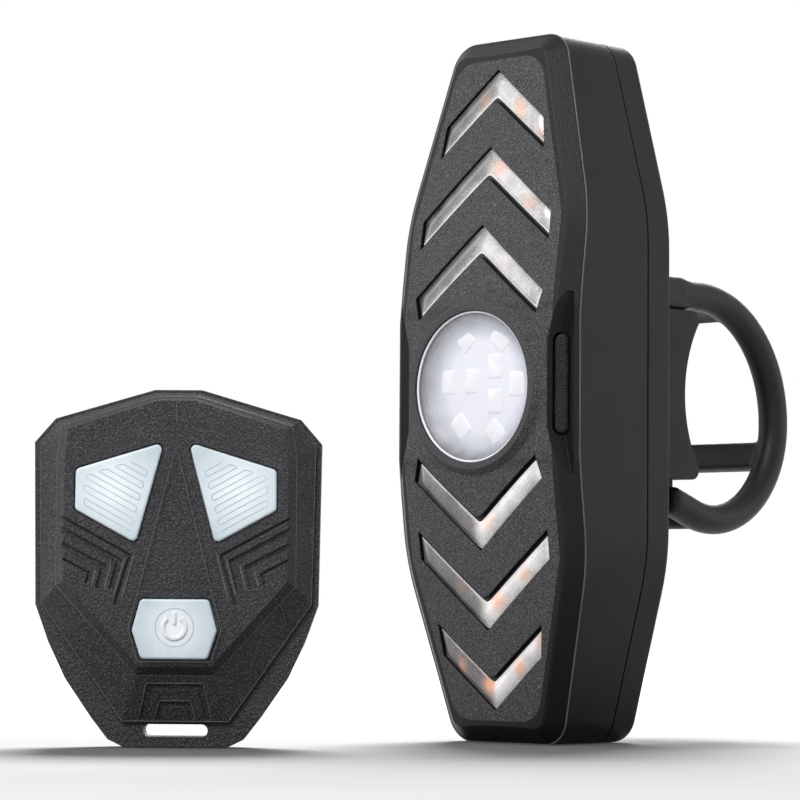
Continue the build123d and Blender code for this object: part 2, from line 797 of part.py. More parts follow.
# Back cover: a shallow pan that closes the body and carries the bracket
with BuildPart() as back_cover:
    with BuildSketch(behind(lamp_depth)):
        add(outline())
    extrude(amount=lamp_depth - parting_depth)
    fillet(back_cover.faces().sort_by(Axis.Y)[-1].edges(), radius=back_edge_radius)
    with BuildSketch(behind(inner_back)):
        add(outline(wall))
        with Locations(*boss_places()):
            Circle(boss_radius, mode=Mode.SUBTRACT)
    extrude(amount=inner_back - parting_depth, mode=Mode.SUBTRACT)
    with BuildSketch(behind(lamp_depth)):
        with Locations(*boss_places()):
            Circle(screw_radius + seat_gap)
        with Locations((0, bracket_screw_z), (0, -bracket_screw_z)):
            Circle(bracket_screw_radius + seat_gap)
    extrude(amount=lamp_depth, mode=Mode.SUBTRACT)
    with BuildSketch(behind(lamp_depth)):
        with Locations(*boss_places()):
            Circle(screw_head_radius + seat_gap)
    extrude(amount=screw_recess, mode=Mode.SUBTRACT)
    with BuildSketch(behind(parting_depth)):
        add(outline(gasket_edge))
        add(outline(gasket_edge + gasket_width), mode=Mode.SUBTRACT)
    extrude(amount=-gasket_height, mode=Mode.SUBTRACT)
    with BuildSketch(behind(parting_depth)):
        add(outline())
        add(outline(parting_groove), mode=Mode.SUBTRACT)
    extrude(amount=-parting_groove, mode=Mode.SUBTRACT)
back_cover.part.label = "back_cover"
export_step(back_cover.part, "parts/back_cover.step")

with BuildPart() as back_gasket:
    with BuildSketch(behind(parting_depth)):
        add(outline(gasket_edge))
        add(outline(gasket_edge + gasket_width), mode=Mode.SUBTRACT)
    extrude(amount=-gasket_height)
back_gasket.part.label = "back_gasket"
export_step(back_gasket.part, "parts/back_gasket.step")

with BuildPart() as cover_screws:
    for x, z in boss_places():
        head_plane = Plane(origin=(x, back - screw_recess, middle + z), x_dir=(-1, 0, 0), z_dir=(0, 1, 0))
        add(screw(screw_radius, screw_head_radius, screw_head_height, screw_length, head_plane))
cover_screws.part.label = "cover_screws"
export_step(cover_screws.part, "parts/cover_screws.step")

# Bracket: a saddle for the seat post with a hook above and a hook below for the strap

def side_plane(x):
    """Side view plane of the strap: x is behind the back cover, y is above mid height."""
    return Plane(origin=(x, back, middle), x_dir=(0, 1, 0), z_dir=(1, 0, 0))


with BuildPart() as mount_bracket:
    with BuildSketch(side_plane(saddle_width / 2)):
        with BuildLine():
            ThreePointArc((saddle_horn, -pad_half_height), (saddle_low, 0), (saddle_horn, pad_half_height))
            Polyline((saddle_horn, pad_half_height), (saddle_horn, saddle_half_height),
                     (0, saddle_half_height), (0, -saddle_half_height), (saddle_horn, -saddle_half_height),
                     (saddle_horn, -pad_half_height))
        make_face()
    extrude(amount=-saddle_width)
    horns = mount_bracket.edges().filter_by(Axis.X).sort_by(Axis.Y)[-4:]
    outer_horns = [e for e in horns if abs(e.center().Z - middle) > pad_half_height + seat_gap]
    fillet(outer_horns, radius=saddle_corner_radius)
    with BuildSketch(side_plane(hook_width / 2)):
        with BuildLine():
            low = saddle_half_height - hook_thickness
            top = upper_hook_height
            start = upper_hook_place
            end = start + hook_thickness
            lip = strap_top + strap_root_height / 2 + seat_gap
            FilletPolyline((start, low), (start, top), (end + upper_hook_lip, top),
                           (end + upper_hook_lip, lip), (end, lip), (end, low), close=True,
                           radius=[hook_edge_radius / 2, hook_edge_radius, hook_edge_radius,
                                   hook_edge_radius / 2, hook_edge_radius / 4, hook_edge_radius / 4])
        make_face()
        with BuildLine():
            low = -saddle_half_height - lower_hook_reach
            start = lower_hook_place
            end = start + hook_thickness
            high = -saddle_half_height + hook_thickness
            FilletPolyline((start - hook_edge_radius, high), (end, high), (end, low), (start, low), close=True,
                           radius=hook_edge_radius)
        make_face()
    extrude(amount=-hook_width)
    with BuildSketch(behind(lamp_depth)):
        with Locations((0, bracket_screw_z), (0, -bracket_screw_z)):
            Circle(bracket_screw_radius)
    extrude(amount=-bracket_screw_length + wall, mode=Mode.SUBTRACT)
mount_bracket.part.label = "mount_bracket"
export_step(mount_bracket.part, "parts/mount_bracket.step")

with BuildPart() as saddle_pad:
    with BuildSketch(side_plane(pad_width / 2)):
        with BuildLine():
            ThreePointArc((saddle_horn, -pad_half_height), (saddle_low, 0), (saddle_horn, pad_half_height))
            Polyline((saddle_horn, pad_half_height), (saddle_horn + pad_thickness, pad_half_height))
            ThreePointArc((saddle_horn + pad_thickness, pad_half_height), (saddle_low + pad_thickness, 0),
                          (saddle_horn + pad_thickness, -pad_half_height))
            Polyline((saddle_horn + pad_thickness, -pad_half_height), (saddle_horn, -pad_half_height))
        make_face()
    extrude(amount=-pad_width)
saddle_pad.part.label = "saddle_pad"
export_step(saddle_pad.part, "parts/saddle_pad.step")

with BuildPart() as bracket_screws:
    for z in (-bracket_screw_z, bracket_screw_z):
        inner_plane = Plane(origin=(0, front + inner_back, middle + z), x_dir=(1, 0, 0), z_dir=(0, -1, 0))
        add(screw(bracket_screw_radius, bracket_screw_head_radius, bracket_screw_head_height,
                  bracket_screw_length, inner_plane))
bracket_screws.part.label = "bracket_screws"
export_step(bracket_screws.part, "parts/bracket_screws.step")

# Strap: two round rails joined by bars, hooked above and below
split_height = strap_top - upper_arc_radius
reach = upper_arc_start + upper_arc_radius
lower_centre = reach - lower_arc_radius
tail_turn = math.radians(tail_angle)
tail_height = split_height - split_gap * 2
tail_start = (lower_centre - lower_arc_radius * math.sin(tail_turn),
              tail_height - lower_arc_radius * math.cos(tail_turn))
tail_end = (tail_start[0] - tail_length * math.cos(tail_turn),
            tail_start[1] + tail_length * math.sin(tail_turn))


def strap_point(x, place):
    """Point of the strap at a place (behind the back cover, above mid height) and a width."""
    return (x, back + place[0], middle + place[1])


def cross_bar(place, angle, length, thickness):
    """Bar between the rails whose section lies along the strap at an angle."""
    turn = math.radians(angle)
    plane = Plane(origin=strap_point(-rail_place, place), z_dir=(1, 0, 0),
                  x_dir=(0, math.cos(turn), math.sin(turn)))
    with BuildPart() as bar:
        with BuildSketch(plane):
            RectangleRounded(length, thickness, thickness / 3)
        extrude(amount=rail_place * 2)
    return bar.part


with BuildPart() as strap_band:
    for side in (-1, 1):
        x = side * rail_place
        with BuildLine() as upper_path:
            Line(strap_point(x, (strap_root_end - rail_radius, strap_top)),
                 strap_point(x, (upper_arc_start, strap_top)))
            turn = math.radians(45)
            ThreePointArc(strap_point(x, (upper_arc_start, strap_top)),
                          strap_point(x, (upper_arc_start + upper_arc_radius * math.sin(turn),
                                          split_height + upper_arc_radius * math.cos(turn))),
                          strap_point(x, (reach, split_height)))
        with BuildSketch(Plane(origin=upper_path.line @ 0, z_dir=upper_path.line % 0)):
            Circle(rail_radius)
        sweep(path=upper_path.line)
    root_middle = (strap_root_start + strap_root_end) / 2
    with Locations(strap_point(0, (root_middle, strap_top))):
        Box(2 * (rail_place + rail_radius), strap_root_end - strap_root_start, strap_root_height)
    root_edges = strap_band.edges().filter_by(Axis.X).sort_by(Axis.Y)[:2]
    fillet(root_edges, radius=strap_root_height / 4)
    window_start = upper_hook_place - strap_window_gap
    window_end = upper_hook_place + hook_thickness + strap_window_gap
    with Locations(strap_point(0, ((window_start + window_end) / 2, strap_top))):
        Box(hook_width + strap_window_gap * 2, window_end - window_start, strap_root_height * 2,
            mode=Mode.SUBTRACT)
strap_band.part.label = "strap_band"
export_step(strap_band.part, "parts/strap_band.step")

with BuildPart() as strap_tail:
    for side in (-1, 1):
        x = side * rail_place
        bend = math.radians((90 + tail_angle) / 2)
        with BuildLine() as lower_path:
            Line(strap_point(x, (reach, split_height - split_gap)),
                 strap_point(x, (reach, tail_height)))
            ThreePointArc(strap_point(x, (reach, tail_height)),
                          strap_point(x, (lower_centre + lower_arc_radius * math.cos(bend),
                                          tail_height - lower_arc_radius * math.sin(bend))),
                          strap_point(x, tail_start))
            Line(strap_point(x, tail_start), strap_point(x, tail_end))
        with BuildSketch(Plane(origin=lower_path.line @ 0, z_dir=lower_path.line % 0)):
            Circle(rail_radius)
        sweep(path=lower_path.line)
    for angle, length in ((rung_angle, rung_width), (web_angle, web_length)):
        around = math.radians(angle)
        place = (lower_centre + lower_arc_radius * math.cos(around),
                 tail_height - lower_arc_radius * math.sin(around))
        add(cross_bar(place, 90 - angle, length, rung_thickness))
    add(cross_bar(tail_end, -tail_angle, rung_thickness, rung_thickness))
strap_tail.part.label = "strap_tail"
export_step(strap_tail.part, "parts/strap_tail.step")

# Remote: every piece is drawn lying down (x right, y up, z out of its face) and then stood up
def placed(local_part):
    """The piece moved from its own frame to its place before the lamp."""
    turn = math.radians(view_angle)
    out = Vector(math.sin(turn), -math.cos(turn), 0)
    foot = Vector(remote_offset_x, front + remote_offset_y, 0) - out * remote_plateau_depth
    stand = Plane(origin=foot, x_dir=(math.cos(turn), math.sin(turn), 0), z_dir=out)
    return local_part.moved(Location(stand))


def mirrored_points(shares):
    """Corner points of a shape given by one half, as shares of the remote's height."""
    half = [(x * remote_height, y * remote_height) for x, y in shares]
    return half + [(-x, y) for x, y in reversed(half) if x]


def polygon(points, radius=0, grow=0):
    """Filled drawing through corner points, with rounded corners, grown all round."""
    with BuildSketch() as drawing:
        with BuildLine():
            if radius:
                FilletPolyline(*points, close=True, radius=radius)
            else:
                Polyline(*points, close=True)
        make_face()
        if grow:
            offset(amount=grow, kind=Kind.INTERSECTION)
    return drawing.sketch


def layer(drawing, low, high):
    """Straight block of a drawing between two levels of the remote."""
    with BuildPart() as block:
        with BuildSketch(Plane.XY.offset(low)):
            add(drawing)
        extrude(amount=high - low)
    return block.part


def remote_bosses():
    return [(side * x * remote_height, y * remote_height)
            for x, y in remote_boss_shares for side in (-1, 1)]


def slot_drawing():
    """Lanyard slot near the foot of the remote."""
    with BuildSketch() as drawing:
        with Locations((0, slot_height)):
            SlotOverall(slot_length, slot_width)
    return drawing.sketch


def above(drawing, height):
    """The part of a drawing above a height."""
    with BuildSketch() as kept:
        add(drawing)
        with Locations((0, height + remote_height / 2)):
            Rectangle(remote_height * 2, remote_height, mode=Mode.INTERSECT)
    return kept.sketch


def key_points(side):
    return [(-side * x * remote_height, y * remote_height) for x, y in side_key_shares]


remote_outline = polygon(mirrored_points(remote_outline_shares))
remote_inner = polygon(mirrored_points(remote_inner_shares))
remote_slope = polygon(mirrored_points(remote_slope_shares))
remote_plateau = polygon(mirrored_points(remote_plateau_shares))
centre_key_points = mirrored_points(centre_key_shares)
remote_inside = above(polygon(mirrored_points(remote_outline_shares), grow=-remote_wall), cavity_start)
key_outlines = {"left_button": key_points(1), "right_button": key_points(-1), "centre_button": centre_key_points}
nose_top = remote_plateau_depth + remote_nose_height

# Front cover of the remote: facetted shell with a raised nose, key openings and grooves
with BuildPart() as remote_shell:
    add(layer(remote_outline, remote_back_depth, remote_rim_depth - remote_rim_step))
    add(layer(remote_inner, remote_back_depth, remote_rim_depth))
    with BuildSketch(Plane.XY.offset(remote_rim_depth)):
        add(remote_inner)
    with BuildSketch(Plane.XY.offset(remote_slope_depth)):
        add(remote_slope)
    with BuildSketch(Plane.XY.offset(remote_plateau_depth)):
        add(remote_plateau)
    loft(ruled=True)
    with BuildSketch(Plane.XY.offset(remote_plateau_depth)):
        add(polygon(mirrored_points(nose_shares)))
    extrude(amount=remote_nose_height, taper=nose_taper)
    add(layer(remote_inside, remote_back_depth, remote_rim_depth - remote_floor), mode=Mode.SUBTRACT)
    add(layer(above(polygon(mirrored_points(remote_slope_shares), grow=-remote_wall / 2), cavity_start),
              remote_back_depth, remote_slope_depth - remote_wall), mode=Mode.SUBTRACT)
    add(layer(above(polygon(mirrored_points(remote_plateau_shares), grow=-remote_wall / 2), cavity_start),
              remote_back_depth, remote_plateau_depth - remote_wall), mode=Mode.SUBTRACT)
    with BuildSketch(Plane.XY.offset(remote_back_depth)):
        with Locations(*remote_bosses()):
            Circle(remote_boss_radius)
    extrude(amount=remote_slope_depth - remote_wall - remote_back_depth)
    with BuildSketch(Plane.XY.offset(remote_back_depth)):
        with Locations(*remote_bosses()):
            Circle(remote_screw_radius)
    extrude(amount=remote_screw_length + remote_screw_head_height - remote_back_depth, mode=Mode.SUBTRACT)
    for points in key_outlines.values():
        add(layer(polygon(points, key_corner_radius, slide_gap), remote_back_depth, nose_top + remote_wall),
            mode=Mode.SUBTRACT)
        add(layer(polygon(points, key_corner_radius, key_flange + slide_gap), remote_back_depth,
                  remote_plateau_depth - remote_wall), mode=Mode.SUBTRACT)
    add(layer(slot_drawing(), 0, remote_plateau_depth), mode=Mode.SUBTRACT)
    cheek_widths = [(shares, groove_line_width) for shares in cheek_line_shares]
    cheek_widths += [(shares, groove_width) for shares in cheek_groove_shares]
    for shares, width in cheek_widths:
        for side in (-1, 1):
            with BuildSketch(Plane.XY.offset(remote_plateau_depth)):
                with BuildLine():
                    Polyline(*[(side * x * remote_height, y * remote_height) for x, y in shares])
                trace(line_width=width)
            extrude(amount=-groove_depth, mode=Mode.SUBTRACT)
    foot_top, foot_low = (mirrored_points(shares)[len(shares) - 1] for shares in
                          (remote_slope_shares, remote_inner_shares))
    facet = Vector(0, foot_top[1] - foot_low[1], remote_slope_depth - remote_rim_depth)
    foot_plane = Plane(origin=(0, foot_low[1], remote_rim_depth), x_dir=(1, 0, 0),
                       z_dir=Vector(1, 0, 0).cross(facet))
    for shares in foot_groove_shares:
        with BuildSketch(foot_plane):
            with BuildLine():
                Polyline(*[(x * remote_height, y * remote_height) for x, y in shares])
            trace(line_width=foot_groove_width)
        extrude(amount=-foot_groove_depth, mode=Mode.SUBTRACT)
with BuildPart() as remote_front_cover:
    add(placed(remote_shell.part))
remote_front_cover.part.label = "remote_front_cover"
export_step(remote_front_cover.part, "parts/remote_front_cover.step")

# Back cover of the remote: a shallow tray with a round opening for the battery door
door_place = (0, door_height)
seat_start = door_thickness + seal_radius * 2
seat_end = seat_start + door_seat_height
lug_start = seat_end + seat_gap
lug_end = lug_start + lug_height
with BuildPart() as remote_tray:
    add(layer(remote_outline, 0, remote_back_depth))
    chamfer(remote_tray.faces().sort_by(Axis.Z)[0].edges(), length=remote_back_edge)
    add(layer(remote_inside, remote_floor, remote_back_depth), mode=Mode.SUBTRACT)
    with BuildSketch(Plane.XY.offset(remote_floor)):
        with Locations(*remote_bosses()):
            Circle(remote_boss_radius)
    extrude(amount=remote_back_depth - remote_floor)
    with BuildSketch(Plane.XY):
        with Locations(door_place):
            Circle(door_seat_radius)
    extrude(amount=seat_end)
    with BuildSketch(Plane.XY):
        with Locations(door_place):
            Circle(door_radius + slide_gap)
    extrude(amount=seat_start, mode=Mode.SUBTRACT)
    with BuildSketch(Plane.XY):
        with Locations(door_place):
            Circle(door_hub_radius + slide_gap)
            with PolarLocations(door_hub_radius, lug_count, start_angle=door_turn):
                Rectangle(lug_reach * 2 + slide_gap * 2, lug_length + slide_gap * 2)
    extrude(amount=seat_end, mode=Mode.SUBTRACT)
    with BuildSketch(Plane.XY):
        with Locations(*remote_bosses()):
            Circle(remote_screw_radius + seat_gap)
    extrude(amount=remote_back_depth, mode=Mode.SUBTRACT)
    with BuildSketch(Plane.XY):
        with Locations(*remote_bosses()):
            Circle(remote_screw_head_radius + seat_gap)
    extrude(amount=remote_screw_head_height + seat_gap, mode=Mode.SUBTRACT)
    add(layer(slot_drawing(), 0, remote_back_depth), mode=Mode.SUBTRACT)
with BuildPart() as remote_back_cover:
    add(placed(remote_tray.part))
remote_back_cover.part.label = "remote_back_cover"
export_step(remote_back_cover.part, "parts/remote_back_cover.step")

# Battery door: a coin-slotted disc with a ring for the cell and three bayonet lugs
with BuildPart() as door_disc:
    with BuildSketch(Plane.XY):
        with Locations(door_place):
            Circle(door_radius)
    extrude(amount=door_thickness)
    chamfer(door_disc.faces().sort_by(Axis.Z)[0].edges(), length=door_thickness / 4)
    with BuildSketch(Plane.XY.offset(door_thickness)):
        with Locations(door_place):
            Circle(door_hub_radius)
    extrude(amount=lug_end - door_thickness)
    with BuildSketch(Plane.XY.offset(lug_start)):
        with Locations(door_place):
            with PolarLocations(door_hub_radius, lug_count):
                Rectangle(lug_reach * 2, lug_length)
    extrude(amount=lug_height)
    with BuildSketch(Plane.XY.offset(door_thickness)):
        with Locations(door_place):
            Circle(cell_radius + seat_gap)
    extrude(amount=lug_end, mode=Mode.SUBTRACT)
    with BuildSketch(Plane.XY):
        with Locations(door_place):
            SlotOverall(coin_slot_length, coin_slot_width)
    extrude(amount=coin_slot_depth, mode=Mode.SUBTRACT)
with BuildPart() as battery_door:
    add(placed(door_disc.part))
battery_door.part.label = "battery_door"
export_step(battery_door.part, "parts/battery_door.step")

seal_place = door_hub_radius + slide_gap + seal_radius * 2
with BuildPart() as seal_ring:
    with BuildSketch(Plane(origin=(0, door_height, seat_start - seal_radius), x_dir=(1, 0, 0),
                           z_dir=(0, -1, 0))):
        with Locations((seal_place, 0)):
            RegularPolygon(radius=seal_radius, side_count=seal_sides)
    revolve(axis=Axis((0, door_height, 0), (0, 0, 1)))
with BuildPart() as door_seal:
    add(placed(seal_ring.part))
door_seal.part.label = "door_seal"
export_step(door_seal.part, "parts/door_seal.step")

with BuildPart() as cell_disc:
    with BuildSketch(Plane.XY.offset(door_thickness + touch_gap)):
        with Locations(door_place):
            Circle(cell_radius)
    extrude(amount=cell_thickness)
    chamfer(cell_disc.edges(), length=cell_thickness / 8)
with BuildPart() as coin_cell:
    add(placed(cell_disc.part))
coin_cell.part.label = "coin_cell"
export_step(coin_cell.part, "parts/coin_cell.step")

# Board of the remote with its spring clip, switches, indicator lights and radio chip
board_low = remote_board_place - remote_board_thickness
cell_top = door_thickness + touch_gap + cell_thickness
with BuildPart() as board_plate:
    with BuildSketch(Plane.XY.offset(board_low)):
        add(above(polygon(mirrored_points(remote_slope_shares), grow=-remote_wall), cavity_start))
        with Locations(*remote_bosses()):
            Circle(remote_boss_radius + slide_gap, mode=Mode.SUBTRACT)
    extrude(amount=remote_board_thickness)
with BuildPart() as remote_board:
    add(placed(board_plate.part))
remote_board.part.label = "remote_board"
export_step(remote_board.part, "parts/remote_board.step")

with BuildPart() as clip_strip:
    with BuildSketch(Plane(origin=(0, door_height + clip_width / 2, 0), x_dir=(1, 0, 0), z_dir=(0, -1, 0))):
        with BuildLine():
            Polyline((-cell_radius, board_low - clip_thickness / 2),
                     (-cell_radius / 2, board_low - clip_thickness / 2),
                     (cell_radius / 4, cell_top + clip_thickness),
                     (cell_radius / 2, board_low - clip_thickness))
        trace(line_width=clip_thickness)
    extrude(amount=-clip_width)
with BuildPart() as cell_clip:
    add(placed(clip_strip.part))
cell_clip.part.label = "cell_clip"
export_step(cell_clip.part, "parts/cell_clip.step")


def key_middle(points):
    """Middle of the corner points of a key."""
    return (sum(x for x, y in points) / len(points), sum(y for x, y in points) / len(points))


with BuildPart() as switch_blocks:
    with BuildSketch(Plane.XY.offset(remote_board_place)):
        with Locations(*[key_middle(points) for points in key_outlines.values()]):
            RectangleRounded(key_switch_size, key_switch_size, key_switch_size / 8)
    extrude(amount=key_switch_height)
with BuildPart() as remote_switches:
    add(placed(switch_blocks.part))
remote_switches.part.label = "remote_switches"
export_step(remote_switches.part, "parts/remote_switches.step")

with BuildPart() as light_blocks:
    with BuildSketch(Plane.XY.offset(remote_board_place)):
        for points in key_outlines.values():
            x, y = key_middle(points)
            with Locations((x, y + key_led_offset)):
                Rectangle(key_led_size * 2, key_led_size)
    extrude(amount=key_led_height)
with BuildPart() as remote_leds:
    add(placed(light_blocks.part))
remote_leds.part.label = "remote_leds"
export_step(remote_leds.part, "parts/remote_leds.step")

with BuildPart() as chip_block:
    with BuildSketch(Plane.XY.offset(remote_board_place)):
        with Locations((0, key_middle(key_points(1))[1])):
            Rectangle(key_switch_size, key_switch_size)
    extrude(amount=key_switch_height)
with BuildPart() as remote_radio_chip:
    add(placed(chip_block.part))
remote_radio_chip.part.label = "remote_radio_chip"
export_step(remote_radio_chip.part, "parts/remote_radio_chip.step")

# Rubber membrane with a pusher above every switch
with BuildPart() as membrane_sheet:
    with BuildSketch(Plane.XY.offset(membrane_place)):
        add(above(polygon(mirrored_points(remote_slope_shares), grow=-remote_wall), cavity_start))
        with Locations(*remote_bosses()):
            Circle(remote_boss_radius + slide_gap, mode=Mode.SUBTRACT)
    extrude(amount=membrane_thickness)
    with BuildSketch(Plane.XY.offset(membrane_place)):
        with Locations(*[key_middle(points) for points in key_outlines.values()]):
            Circle(key_switch_size / 2)
    extrude(amount=-(membrane_place - remote_board_place - key_switch_height) + touch_gap)
with BuildPart() as button_membrane:
    add(placed(membrane_sheet.part))
button_membrane.part.label = "button_membrane"
export_step(button_membrane.part, "parts/button_membrane.step")

# Keys: flanged caps that stand proud of the face
for name, points in key_outlines.items():
    centred = name == "centre_button"
    key_top = (nose_top + centre_button_rise) if centred else (remote_plateau_depth + side_button_rise)
    flange_top = remote_plateau_depth - remote_wall - seat_gap
    with BuildPart() as key_cap:
        add(layer(polygon(points, key_corner_radius), flange_top - key_flange_height, key_top))
        fillet(key_cap.faces().sort_by(Axis.Z)[-1].edges(), radius=key_edge_radius)
        add(layer(polygon(points, key_corner_radius, key_flange), flange_top - key_flange_height, flange_top))
    with BuildPart() as key:
        add(placed(key_cap.part))
    key.part.label = name
    export_step(key.part, "parts/" + name + ".step")

with BuildPart() as screw_set:
    for x, y in remote_bosses():
        lying = Plane(origin=(x, y, remote_screw_head_height), x_dir=(1, 0, 0), z_dir=(0, 0, -1))
        add(screw(remote_screw_radius, remote_screw_head_radius, remote_screw_head_height,
                  remote_screw_length, lying))
with BuildPart() as remote_screws:
    add(placed(screw_set.part))
remote_screws.part.label = "remote_screws"
export_step(remote_screws.part, "parts/remote_screws.step")
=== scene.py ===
import bpy, bmesh, json, math
import numpy as np
from mathutils import Matrix, Vector


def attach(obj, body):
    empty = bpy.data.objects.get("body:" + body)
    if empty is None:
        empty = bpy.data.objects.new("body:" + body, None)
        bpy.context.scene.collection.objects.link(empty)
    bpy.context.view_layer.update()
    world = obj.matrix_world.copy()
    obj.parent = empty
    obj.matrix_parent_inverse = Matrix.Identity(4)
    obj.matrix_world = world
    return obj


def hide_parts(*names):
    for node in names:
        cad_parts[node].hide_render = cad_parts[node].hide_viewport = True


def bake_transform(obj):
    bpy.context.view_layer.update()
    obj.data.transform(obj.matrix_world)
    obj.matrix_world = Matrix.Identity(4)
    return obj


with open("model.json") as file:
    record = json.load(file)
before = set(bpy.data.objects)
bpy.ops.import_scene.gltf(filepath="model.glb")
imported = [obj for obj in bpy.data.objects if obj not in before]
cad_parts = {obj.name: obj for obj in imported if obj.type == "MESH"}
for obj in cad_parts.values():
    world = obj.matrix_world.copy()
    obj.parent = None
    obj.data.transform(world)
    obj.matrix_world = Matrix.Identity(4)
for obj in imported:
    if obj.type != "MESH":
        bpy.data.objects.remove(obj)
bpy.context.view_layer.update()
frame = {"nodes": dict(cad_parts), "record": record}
record = frame["record"]
scene = bpy.context.scene
mm = 0.001

# the lamp's main places in millimetres: front face, back plane and mid height
lamp = dict(front=-17.4, back=9.4, middle=58.7)

# its crowned front: flat near mid height, then leaning back by a slope, with a parabola between that reaches
# the blend's length to either side, and arched across on a circle
crown = dict(flat=12.6, blend=4.2, slope=0.1405, radius=154.0)

# seen from the right front, a little under mid height, with a long lens
cameraSet = dict(place=(379.6, -427.8, 23.2), azimuth=44.0, pitch=3.4, roll=0.4, lens=153.0, sensor=36.0,
                 clip=(0.05, 20.0))


def addCamera(s):
    data = bpy.data.cameras.new("photoCamera")
    data.lens = s["lens"]
    data.sensor_width = s["sensor"]
    data.clip_start, data.clip_end = s["clip"]
    cam = bpy.data.objects.new("photoCamera", data)
    scene.collection.objects.link(cam)
    a, p = math.radians(s["azimuth"]), math.radians(s["pitch"])
    forward = Vector((-math.sin(a) * math.cos(p), math.cos(a) * math.cos(p), math.sin(p)))
    turn = forward.to_track_quat("-Z", "Y").to_matrix().to_4x4()
    roll = Matrix.Rotation(math.radians(s["roll"]), 4, "Z")  # turns the picture about the view axis
    cam.matrix_world = Matrix.Translation(Vector(s["place"]) * mm) @ turn @ roll
    scene.camera = cam


addCamera(cameraSet)
print("camera placed")


# quads between neighbouring rows and columns of a grid whose columns go round; in a ring the last row joins
# the first
def gridFaces(rows, cols, ring, first):
    r, c = np.meshgrid(np.arange(rows - (not ring)), np.arange(cols), indexing="ij")
    nextRow, nextCol = (r + 1) % rows, (c + 1) % cols
    quads = np.stack([r * cols + c, nextRow * cols + c, nextRow * cols + nextCol, r * cols + nextCol], -1)
    return (quads.reshape(-1, 4) + first).tolist()


# one mesh from closed grids in millimetres: every row is a closed loop, the first and last rows are
# capped unless the rows make a ring, and the faces are turned outwards
def makePiece(name, shells, finish, crease=40.0):
    points, faces, marks, first = [], [], {}, 0
    for shell in shells:
        grid, ring = shell["grid"], shell.get("ring", False)
        rows, cols = grid.shape[:2]
        points.append(grid.reshape(-1, 3))
        faces += gridFaces(rows, cols, ring, first)
        if not ring:
            faces.append(list(range(first, first + cols)))
            faces.append(list(range(first + (rows - 1) * cols, first + rows * cols)))
        for key, values in shell.get("marks", {}).items():
            marks.setdefault(key, []).append(values.reshape(-1))
        first += rows * cols
    mesh = bpy.data.meshes.new(name)
    mesh.from_pydata((np.concatenate(points) * mm).tolist(), [], faces)
    for key, parts in marks.items():
        layer = mesh.attributes.new(key, "FLOAT", "POINT")
        layer.data.foreach_set("value", np.concatenate(parts).astype(np.float32))
    build = bmesh.new()
    build.from_mesh(mesh)
    bmesh.ops.recalc_face_normals(build, faces=build.faces)
    build.to_mesh(mesh)
    build.free()
    mesh.shade_smooth()
    mesh.set_sharp_from_angle(angle=math.radians(crease))
    obj = bpy.data.objects.new(name, mesh)
    scene.collection.objects.link(obj)
    mesh.materials.append(finish)
    return obj


# a flat profile carried along a flat path: each profile point goes (out, side) from the path point,
# where out is the path's direction crossed with side; swell scales the profile row by row
def carry(profile, path, side, swell=None, ring=False):
    side = np.asarray(side, float)
    if ring:
        ahead = np.roll(path, -1, 0) - np.roll(path, 1, 0)
    else:
        ahead = np.gradient(path, axis=0)
    ahead /= np.linalg.norm(ahead, axis=1)[:, None]
    out = np.cross(ahead, side)
    grow = np.ones(len(path)) if swell is None else np.asarray(swell, float)
    return (path[:, None, :] + grow[:, None, None] * (profile[None, :, :1] * out[:, None, :]
                                                      + profile[None, :, 1:] * side[None, None, :]))


# rounded rectangle as a superellipse: half sizes a and b, power 2 is an ellipse, more is squarer
def roundSection(a, b, power, count=28):
    t = np.linspace(0, 2 * np.pi, count, endpoint=False)
    c, s = np.cos(t), np.sin(t)
    return np.stack([a * np.sign(c) * np.abs(c) ** (2 / power), b * np.sign(s) * np.abs(s) ** (2 / power)], -1)


# straight runs from each point to its partner, without the partner itself
def runs(before, after, steps=8):
    t = np.linspace(0, 1, steps + 1)[:-1, None]
    return (before[:, None] * (1 - t) + after[:, None] * t).reshape(-1, 2)


# straight runs along a row of corners, up to and with the last one
def stepped(corners):
    return np.concatenate([runs(corners[:-1], corners[1:]), corners[-1:]])


# depth of the crowned front behind its middle: the lean up and down plus the circle's sag across
def frontDepth(x, z):
    flat, blend, slope, radius = crown["flat"], crown["blend"], crown["slope"], crown["radius"]
    past = np.abs(z) - flat
    easing = slope * (past + blend) ** 2 / (4 * blend)
    lean = np.where(past > blend, slope * past, np.where(past < -blend, 0.0, easing))
    return lean + radius - np.sqrt(radius ** 2 - x ** 2)


def newMaterial(name):
    mat = bpy.data.materials.new(name)
    mat.use_nodes = True
    return mat, mat.node_tree, mat.node_tree.nodes["Principled BSDF"]


def node(tree, kind, values=None, **props):
    n = tree.nodes.new(kind)
    for key, value in props.items():
        setattr(n, key, value)
    for key, value in (values or {}).items():
        n.inputs[key].default_value = value
    return n


# arithmetic on sockets or plain numbers
def sums(tree, operation, *terms, clamp=False):
    n = node(tree, "ShaderNodeMath", operation=operation, use_clamp=clamp)
    for place, term in enumerate(terms):
        if isinstance(term, (int, float)):
            n.inputs[place].default_value = term
        else:
            tree.links.new(term, n.inputs[place])
    return n.outputs[0]


# colour ramp over a factor: stops are (position, grey or colour)
def ramp(tree, source, stops):
    n = tree.nodes.new("ShaderNodeValToRGB")
    tree.links.new(source, n.inputs["Fac"])
    elements = n.color_ramp.elements
    while len(elements) < len(stops):
        elements.new(0.5)
    for element, (place, colour) in zip(elements, stops):
        element.position = place
        element.color = (*colour, 1) if isinstance(colour, tuple) else (colour, colour, colour, 1)
    return n.outputs["Color"]


